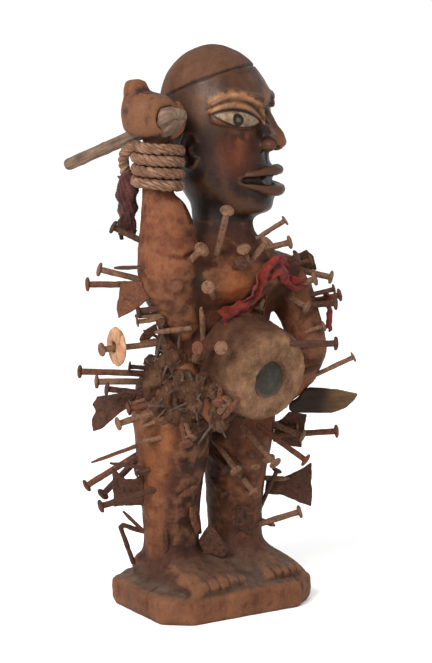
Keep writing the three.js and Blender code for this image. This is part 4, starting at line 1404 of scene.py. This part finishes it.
def pleated_strip(name, route, wide, seed):
    """A strip of cloth along a route, crumpled across its width. Gives the piece and its length."""
    across = 17
    line = spline(route, 12)
    along = unit(np.gradient(line, axis=0))
    side = unit(np.cross(along, unit(line * (1, 1, 0))))
    out = np.cross(side, along)
    length = np.concatenate([[0], np.cumsum(np.linalg.norm(np.diff(line, axis=0), axis=1))])
    narrow = 0.85 + 0.15 * np.sin(length / 13 + seed)
    phase = 2.4 * np.sin(length / 15 + seed) + length / 23
    threads = []
    for share in np.linspace(-0.5, 0.5, across):
        wave = np.sin(share * RAG["pleats"] * 2 * math.pi + phase) * RAG["thick"]
        threads.append(line + side * (share * wide * narrow)[:, None] + out * wave[:, None])
    points = np.stack(threads, axis=1).reshape(-1, 3)
    points = points + drift(points, 7, seed + 70) * 2.2
    points = points + drift(points, 3.4, seed + 75) * 1.1
    piece = from_shapes(name, [(to_row(points), grid_faces(len(line), across))])
    solid = piece.modifiers.new("Thickness", "SOLIDIFY")
    solid.thickness = RAG["cloth"] * MM
    solid.offset = 0
    return baked(piece), length[-1]


class NKISI_OT_cloth(bpy.types.Operator):
    """Makes the knotted bundle and the red rags"""

    bl_idname = "nkisi.cloth"
    bl_label = "Cloths"

    def execute(self, context):
        self.bundle()
        for name, route, wide, node, carrier, held, seed in (
            ("chest_rag", RED_RAG, 19, "red_rag", "figure", "draped", 1),
            ("hanging_rag", RED_RAG_TAIL, 20, "red_rag_tail", "nail_left_arm_2", "hung", 2),
        ):
            rag, length = pleated_strip(name, route, wide, seed)
            add_painted_shade(rag.data, 4, 0.0009, 0.7)
            finished(rag, finish("red"), [node])
        return {"FINISHED"}

    def bundle(self):
        """The dark cloth, twisted and knotted round the rope's tail."""
        piece = remeshed(node_copy("cloth_bundle", "knotted_bundle"), SKIN["bundle"])
        mesh = piece.data
        own = softened(mesh, 10)
        z = own[:, 2]
        angle = np.arctan2(own[:, 1] - BUNDLE["y"], own[:, 0] - BUNDLE["x"])
        ribs = 0.5 * np.sin(angle * 12 + z * 0.5) + 0.35 * np.sin(z * 2.6 + angle * 3)
        twist = 1.3 * np.sin(angle * 2 + z * 0.2) - 1.8 * bell(z - BUNDLE["knot"], 3.5)
        pushed(mesh, ribs + twist + 3.2 * lumps(own, 11, 71) + 2.0 * lumps(own, 5, 72))
        add_painted_shade(mesh, 5, 0.0009, 0.75)
        finished(piece, finish("dark"), ["cloth_bundle"])


# Iron

NAIL_LOOKS = ("steel", "iron", "steel", "rust")
NAIL_FORMS = {
    "wire": {"shank": 2.4, "head": 5.4, "high": 2.4, "sides": 12, "point": 1.0},
    "forged": {"shank": 3.2, "head": 6.9, "high": 4.2, "sides": 8, "point": 1.0},
    "peg": {"shank": 2.8, "head": 0.0, "high": 1.0, "sides": 9, "point": 0.45},
    "spike": {"shank": 2.6, "head": 0.0, "high": 1.0, "sides": 4, "point": 0.5},
}
RUSTY_BLADES = ("blade_shoulder", "blade_waist", "blade_shin")


def measured_nail(node):
    """A driven solid's root, its direction, its length and its form, all from its points."""
    mesh = NODES[node].data
    points = points_of(mesh)
    corners = points[corners_of(mesh)]
    cross = np.cross(corners[:, 1] - corners[:, 0], corners[:, 2] - corners[:, 0])
    area = np.linalg.norm(cross, axis=1)
    normal = cross / np.maximum(area, 1e-15)[:, None]
    spread = (normal * area[:, None]).T @ normal
    axis = np.linalg.eigh(spread)[1][:, 0]
    along = points @ axis
    tip = points[along > along.max() - 1e-5].mean(axis=0)
    root = points[along < along.min() + 0.004].mean(axis=0)
    if np.hypot(*tip[:2]) < np.hypot(*root[:2]):
        axis, along = -axis, -along
        tip = points[along > along.max() - 1e-5].mean(axis=0)
    length = along.max() - along.min()
    around = points - tip - ((points - tip) @ axis)[:, None] * axis
    radius = np.linalg.norm(around, axis=1) / MM
    shank = np.median(radius[along < along.min() + 0.6 * length])
    kind = min(NAIL_FORMS, key=lambda k: abs(NAIL_FORMS[k]["shank"] - shank))
    return (tip - axis * length, axis, length), NAIL_FORMS[kind]


class Driver:
    """Drives nails in, with one geometry tree and one row of random draws."""

    def __init__(self, settings, seed, bend):
        self.settings = settings
        self.tree = nail_tree()
        self.draw = random.Random(seed)
        self.bend = bend

    def drive(self, name, place, form, nodes):
        """One nail of a form at its place, which is its root, its direction and its length."""
        root, axis, length = place
        look = finish(self.draw.choice(NAIL_LOOKS))
        piece = baked(planted(new_object(name, bpy.data.meshes.new(name)), self.tree, {
            "Length": length, "Sunk": self.settings.sunk, "Shank": form["shank"] * MM,
            "Point": form["point"], "Head": form["head"] * MM, "Head Height": form["high"] * MM,
            "Bend": self.draw.uniform(-self.bend, self.bend), "Sides": form["sides"],
            "Wear": self.settings.wear, "Seed": self.draw.uniform(0, 50), "Material": look,
        }))
        turn = Vector((0, 0, 1)).rotation_difference(Vector(axis)).to_matrix().to_4x4()
        roll = Matrix.Rotation(self.draw.uniform(0, 6.28), 4, "Z")
        piece.data.transform(Matrix.Translation(Vector(root)) @ turn @ roll)
        finished(piece, look, nodes, 40)


class NKISI_OT_nails(bpy.types.Operator):
    """Drives in the nails, pegs and spikes that have a solid of their own"""

    bl_idname = "nkisi.nails"
    bl_label = "Nails"

    def execute(self, context):
        settings = context.scene.nkisi_iron
        driver = Driver(settings, settings.seed, 0.0012)
        for node in sorted(n for n in NODES if n.startswith("nail_") and n != "nail_bent"):
            driver.drive(node.replace("nail", "iron_nail"), *measured_nail(node), [node])
        self.folded()
        return {"FINISHED"}

    def folded(self):
        """The nail that was knocked over keeps its solid's line, rounded."""
        piece = remeshed(node_copy("nail_bent", "folded_nail"), SKIN["folded"])
        own = softened(piece.data, 5)
        pushed(piece.data, 0.35 + 0.4 * lumps(own, 4, 81))
        finished(piece, finish("iron"), ["nail_bent"])


# Small iron: a place near the skin x, y, z, the bearing and pitch it points, length out and kind.
SMALL_IRON = [
    (-85, -25, 310, -125, -10, 20, "forged"), (-80, -25, 300, -125, -10, 25, "wire"),
    (-55, 30, 240, -125, 5, 20, "wire"), (-60, 30, 75, -125, 45, 30, "spike"),
    (-60, -50, 360, 5, 30, 20, "forged"), (-75, -50, 330, -55, 35, 12, "forged"),
    (-40, -40, 280, -40, 55, 40, "peg"), (30, -50, 300, -15, 65, 40, "spike"),
    (65, -55, 325, 45, 20, 20, "forged"), (80, -60, 315, 45, 15, 25, "wire"),
    (80, -60, 305, 45, 5, 25, "forged"), (75, -45, 345, 55, 20, 15, "wire"),
    (70, -65, 240, 55, 20, 15, "peg"), (25, -15, 130, 15, -40, 25, "forged"),
    (60, -5, 95, 25, 65, 40, "wire"), (65, -5, 120, 45, 0, 25, "peg"),
    (-60, -5, 65, -40, 70, 25, "peg"), (-20, -5, 80, -55, 70, 30, "peg"),
    (-40, -70, 235, -45, -45, 20, "forged"), (-55, -30, 200, -10, -50, 25, "forged"),
    (-35, -80, 270, -60, 20, 25, "forged"), (-70, 10, 230, 45, -10, 35, "peg"),
    (-35, -90, 225, -80, -35, 25, "peg"), (-60, -40, 290, -115, -5, 30, "peg"),
    (25, -50, 315, -60, -45, 15, "wire"), (50, -55, 350, 45, 25, 15, "forged"),
    (5, 5, 150, 10, -35, 25, "forged"), (-70, -10, 180, -115, -10, 20, "peg"),
    (-40, -20, 125, -85, -20, 15, "peg"), (15, 10, 120, 5, -35, 20, "wire"),
    (-5, -65, 355, -55, 45, 20, "forged"), (-20, -65, 350, -5, 25, 15, "forged"),
    (-70, -25, 290, -75, 35, 15, "wire"), (-65, -25, 270, -70, 20, 15, "peg"),
    (40, -30, 165, -5, -40, 25, "forged"), (30, -25, 155, -15, -45, 20, "wire"),
    (60, -15, 180, 35, -20, 35, "forged"), (15, -10, 150, 10, -25, 20, "peg"),
    (-75, 5, 145, -115, -15, 15, "wire"), (-75, -5, 195, -115, -20, 12, "peg"),
    (60, -5, 75, 35, -15, 15, "peg"), (-65, -5, 275, -120, -5, 20, "peg"),
    (-75, 10, 215, -120, -20, 15, "wire"), (-75, 5, 210, -120, -10, 20, "forged"),
    (60, -60, 310, 30, -25, 15, "forged"), (75, -65, 280, 45, 20, 15, "wire"),
    (70, -60, 265, 45, 5, 15, "peg"), (65, -15, 175, 45, 0, 25, "wire"),
    (-30, 50, 300, -170, 10, 25, "wire"), (10, 55, 285, 170, -5, 25, "forged"),
    (30, 45, 240, 150, -5, 30, "wire"), (-20, 40, 190, -165, -10, 20, "forged"),
    (35, 30, 160, 140, -10, 30, "wire"), (40, 25, 110, 120, 10, 25, "peg"),
]
# Lumps of earth and fibre on the right hip: x, y, z and size.
HIP_LUMPS = [
    (-45, 40, 245, 7), (-60, 5, 245, 9), (-65, -30, 260, 8), (-70, 5, 225, 8), (-65, -20, 220, 9),
    (-60, -40, 240, 9), (-55, -50, 220, 8), (-70, -10, 210, 7), (-50, -30, 200, 8), (-35, -30, 195, 7),
    (-65, -15, 280, 7), (-45, -50, 240, 7), (-35, -50, 220, 8), (-60, 0, 270, 6), (-45, -40, 260, 6),
    (-25, -35, 205, 8), (-10, -40, 200, 7), (10, -40, 200, 7), (-35, -60, 210, 8), (-30, -60, 200, 8),
    (-40, -60, 230, 7), (-55, 20, 245, 8), (-70, -5, 240, 8), (-65, -25, 230, 9), (-60, -35, 225, 8),
    (-65, -10, 255, 8), (-50, -40, 210, 8), (-60, -20, 205, 8), (-50, -45, 230, 8), (-65, -20, 270, 7),
]


class Skin:
    """The outer skin of the body and the pack, for finding where things stand on it."""

    def __init__(self):
        points, faces, first = [], [], 0
        for name in ("carved_figure", "resin_pack"):
            mesh = bpy.data.objects[name].data
            points.append(points_of(mesh))
            faces.append(corners_of(mesh) + first)
            first += len(mesh.vertices)
        self.tree = BVHTree.FromPolygons(np.vstack(points).tolist(), np.vstack(faces).tolist())

    def nearest(self, place):
        """The point of the skin nearest to a place in millimetres, in metres."""
        return np.array(self.tree.find_nearest(Vector(to_row(place)))[0])


class NKISI_OT_small_iron(bpy.types.Operator):
    """Drives in the small nails and pegs that stand between the large ones"""

    bl_idname = "nkisi.small_iron"
    bl_label = "Small iron"

    def execute(self, context):
        settings = context.scene.nkisi_iron
        driver = Driver(settings, settings.seed + 1, 0.0015)
        skin = Skin()
        for number, (x, y, z, bearing, pitch, out, kind) in enumerate(SMALL_IRON, 1):
            place = (skin.nearest((x, y, z)), turned(heading(bearing, pitch), TURN), out * MM)
            driver.drive(f"small_iron_{number:02d}", place, NAIL_FORMS[kind], [])
        return {"FINISHED"}


class NKISI_OT_clump(bpy.types.Operator):
    """Packs earth, fibre and twigs on the right hip and below the pack"""

    bl_idname = "nkisi.clump"
    bl_label = "Hip clump"

    def execute(self, context):
        skin = Skin()
        balls = []
        for x, y, z, size in HIP_LUMPS:
            middle = from_row(skin.nearest((x, y, z)))
            balls.append(moved(ball(middle, (size * 1.3, size * 1.05, size * 1.45)), to_row))
        clump = remeshed(from_shapes("hip_clump", balls), SKIN["clump"])
        mesh = clump.data
        own = softened(mesh, 16)
        pushed(mesh, 2.2 * lumps(own, 8, 151) + 1.4 * lumps(own, 3.6, 152) + 0.6 * lumps(own, 1.9, 153))
        add_painted_shade(mesh, 5, 0.0012, 0.9)
        add_numbers(mesh, "rim", smooth_step(0.1, 0.6, lumps(own, 9, 154)) * 0.35)
        add_numbers(mesh, "strewn", smooth_step(-0.2, 0.3, lumps(own, 12, 155)))
        crumbs = baked(planted(new_object("hip_crumbs", mesh.copy()), crumb_tree(), {
            "Density": 42000.0, "Size": 0.0013, "Seed": 5, "Material": finish("resin"),
        }))
        add_numbers(crumbs.data, "rim", np.full(len(crumbs.data.vertices), 0.25))
        finished(clump, finish("resin"), [])
        finished(crumbs, finish("resin"), [])
        self.twigs(skin)
        return {"FINISHED"}

    def twigs(self, skin):
        """Short bits of twig and fibre that lie on and stick out of the clump."""
        draw = random.Random(12)
        shapes = []
        for x, y, z, size in HIP_LUMPS * 3:
            place = (x + draw.uniform(-6, 6), y + draw.uniform(-6, 6), z + draw.uniform(-9, 9))
            out = heading(draw.uniform(-120, 10), draw.uniform(-70, 60))
            side = heading(draw.uniform(-180, 180), draw.uniform(-80, 80))
            long, thick = draw.uniform(10, 24), draw.uniform(0.9, 2.1)
            start = from_row(skin.nearest(place))
            stations = [
                (start, thick, thick),
                (start + out * size * 0.9 + side * long * 0.4, thick, thick * 0.9),
                (start + out * size * 1.3 + side * long, thick * 0.7, thick * 0.6),
            ]
            shapes.append(moved(bar(stations, up=(0.3, 0.5, 1), sides=7, dense=3), to_row))
        twigs = from_shapes("hip_twigs", shapes)
        own = from_row(points_of(twigs.data))
        add_numbers(twigs.data, "along", own[:, 2] * MM)
        add_numbers(twigs.data, "round", own[:, 0] * MM)
        # The twigs are darkened all over, in blotches, through the number that holds painted shade elsewhere.
        add_numbers(twigs.data, "shade_and_tone", 0.68 + 0.2 * lumps(own, 9, 156))
        finished(twigs, finish("stick"), [])


class NKISI_OT_blades(bpy.types.Operator):
    """Rusts and wears the driven blades, and finishes the horn blade and the disc"""

    bl_idname = "nkisi.blades"
    bl_label = "Blades, horn and disc"

    def execute(self, context):
        names = sorted(n for n in NODES if n.startswith(("blade_", "plate_")))
        for number, node in enumerate(names):
            piece = remeshed(node_copy(node, node.replace("_", "_iron_", 1)), SKIN["blade"])
            own = softened(piece.data, 2)
            pits = 0.3 * lumps(own, 2.4, 120 + number) + 0.25 * lumps(own, 5, 140 + number)
            pushed(piece.data, pits, drift(own, 8, 90 + number) * 0.9)
            look = finish("rust" if node in RUSTY_BLADES else "iron")
            finished(piece, look, [node])
        self.horn()
        self.disc()
        return {"FINISHED"}

    def horn(self):
        """The dark curved blade, golden towards its tip."""
        piece = remeshed(node_copy("horn_blade", "horn_knife"), SKIN["horn"])
        own = softened(piece.data, 14, 0.6)
        pushed(piece.data, 0.5 + 0.35 * lumps(own, 7, 95))
        out = (own - np.array((68, -54, 209))) @ heading(54, 0)
        add_numbers(piece.data, "along", smooth_step(18, 52, out + 6 * lumps(own, 10, 96)))
        finished(piece, finish("horn"), ["horn_blade"])

    def disc(self):
        """The pale disc that hangs at the waist."""
        piece = remeshed(node_copy("disc", "hanging_disc"), SKIN["disc"])
        own = softened(piece.data, 8, 0.6)
        pushed(piece.data, 0.4 + 0.4 * lumps(own, 6, 97))
        add_painted_shade(piece.data, 6, 0.0011, 0.8)
        finished(piece, finish("disc"), ["disc"])


# Studio

CAMERA = {"azimuth": -32, "rise": 8.4, "away": 2.0, "aim": (0, 0, 0.290), "shift": (0.0065, -0.0186)}
LIGHTS = {"Key_light": ((-1.9, -1.1, 1.8), 1.1), "Fill_light": ((1.9, -1.2, 1.0), 1.8)}
LIGHTS_AIM = (0, 0, 0.28)
FLOOR = {"wide": 12.0, "rows": 25}


class NKISI_OT_studio(bpy.types.Operator):
    """Sets the pale floor, the soft lights and the camera"""

    bl_idname = "nkisi.studio"
    bl_label = "Floor, light and camera"

    def execute(self, context):
        settings = context.scene.nkisi_studio
        scene = context.scene
        self.camera(scene, settings)
        self.floor()
        self.light("Key_light", settings.key)
        self.light("Fill_light", settings.fill)
        world = bpy.data.worlds.new("Pale_surroundings")
        world.use_nodes = True
        sky = world.node_tree.nodes["Background"]
        sky.inputs["Color"].default_value = (1, 1, 1, 1)
        sky.inputs["Strength"].default_value = settings.sky
        scene.world = world
        scene.view_settings.view_transform = "Standard"
        scene.view_settings.look = "None"
        return {"FINISHED"}

    def camera(self, scene, settings):
        """Looks at the figure from where the photograph was taken."""
        azimuth, rise = math.radians(CAMERA["azimuth"]), math.radians(CAMERA["rise"])
        flat = math.cos(rise)
        back = Vector((math.sin(azimuth) * flat, -math.cos(azimuth) * flat, math.sin(rise)))
        data = bpy.data.cameras.new("Photo_view")
        data.lens = settings.lens
        data.sensor_fit = "VERTICAL"
        data.sensor_height = 36
        data.shift_x, data.shift_y = CAMERA["shift"]
        camera = new_object("Photo_view", data)
        camera.location = Vector(CAMERA["aim"]) + back * CAMERA["away"]
        camera.rotation_euler = back.to_track_quat("Z", "Y").to_euler()
        scene.camera = camera

    def floor(self):
        """A wide pale floor of even squares."""
        side = np.linspace(-FLOOR["wide"] / 2, FLOOR["wide"] / 2, FLOOR["rows"])
        points = np.array([(x, y, 0.0) for y in side for x in side])
        floor = from_shapes("floor", [(points, grid_faces(len(side), len(side)))])
        paint = Paint("Pale_floor")
        paint.colour = paint.ramp(paint.noise(600), (0.2, "fcfcfc"), (0.8, "ffffff"))
        floor.data.materials.append(paint.done(0.9))

    def light(self, name, power):
        """A round, soft light that points at the figure's middle."""
        place, size = LIGHTS[name]
        data = bpy.data.lights.new(name, "AREA")
        data.shape, data.size, data.energy = "DISK", size, power
        lamp = new_object(name, data)
        lamp.location = place
        away = Vector(place) - Vector(LIGHTS_AIM)
        lamp.rotation_euler = away.to_track_quat("Z", "Y").to_euler()


class NKISI_PT_panel(bpy.types.Panel):
    """Lists the steps that build the figure"""

    bl_label = "Power figure"
    bl_idname = "NKISI_PT_panel"
    bl_space_type = "VIEW_3D"
    bl_region_type = "UI"
    bl_category = "Figure"

    def draw(self, context):
        for name in SETTINGS:
            group = getattr(context.scene, name)
            for key in group.bl_rna.properties.keys():
                if key not in ("rna_type", "name"):
                    self.layout.prop(group, key)
        for step in STEPS:
            self.layout.operator(step.bl_idname)


STEPS = (NKISI_OT_studio, NKISI_OT_carve, NKISI_OT_pack, NKISI_OT_stick, NKISI_OT_rope,
         NKISI_OT_cloth, NKISI_OT_nails, NKISI_OT_small_iron, NKISI_OT_clump, NKISI_OT_blades)
SETTINGS = {
    "nkisi_carving": CarvingSettings, "nkisi_iron": IronSettings,
    "nkisi_rope": RopeSettings, "nkisi_studio": StudioSettings,
}


def register():
    for group in (*SETTINGS.values(), *STEPS, NKISI_PT_panel):
        bpy.utils.register_class(group)
    for name, group in SETTINGS.items():
        setattr(bpy.types.Scene, name, PointerProperty(type=group))


def unregister():
    for name in SETTINGS:
        delattr(bpy.types.Scene, name)
    for group in reversed((*SETTINGS.values(), *STEPS, NKISI_PT_panel)):
        bpy.utils.unregister_class(group)


def main():
    """Builds the figure round the frame."""
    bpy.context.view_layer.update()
    register()
    bpy.ops.nkisi.studio()
    bpy.ops.nkisi.carve()
    bpy.ops.nkisi.pack()
    bpy.ops.nkisi.stick()
    bpy.ops.nkisi.rope()
    bpy.ops.nkisi.cloth()
    bpy.ops.nkisi.nails()
    bpy.ops.nkisi.small_iron()
    bpy.ops.nkisi.clump()
    bpy.ops.nkisi.blades()


if __name__ == "__main__":
    main()
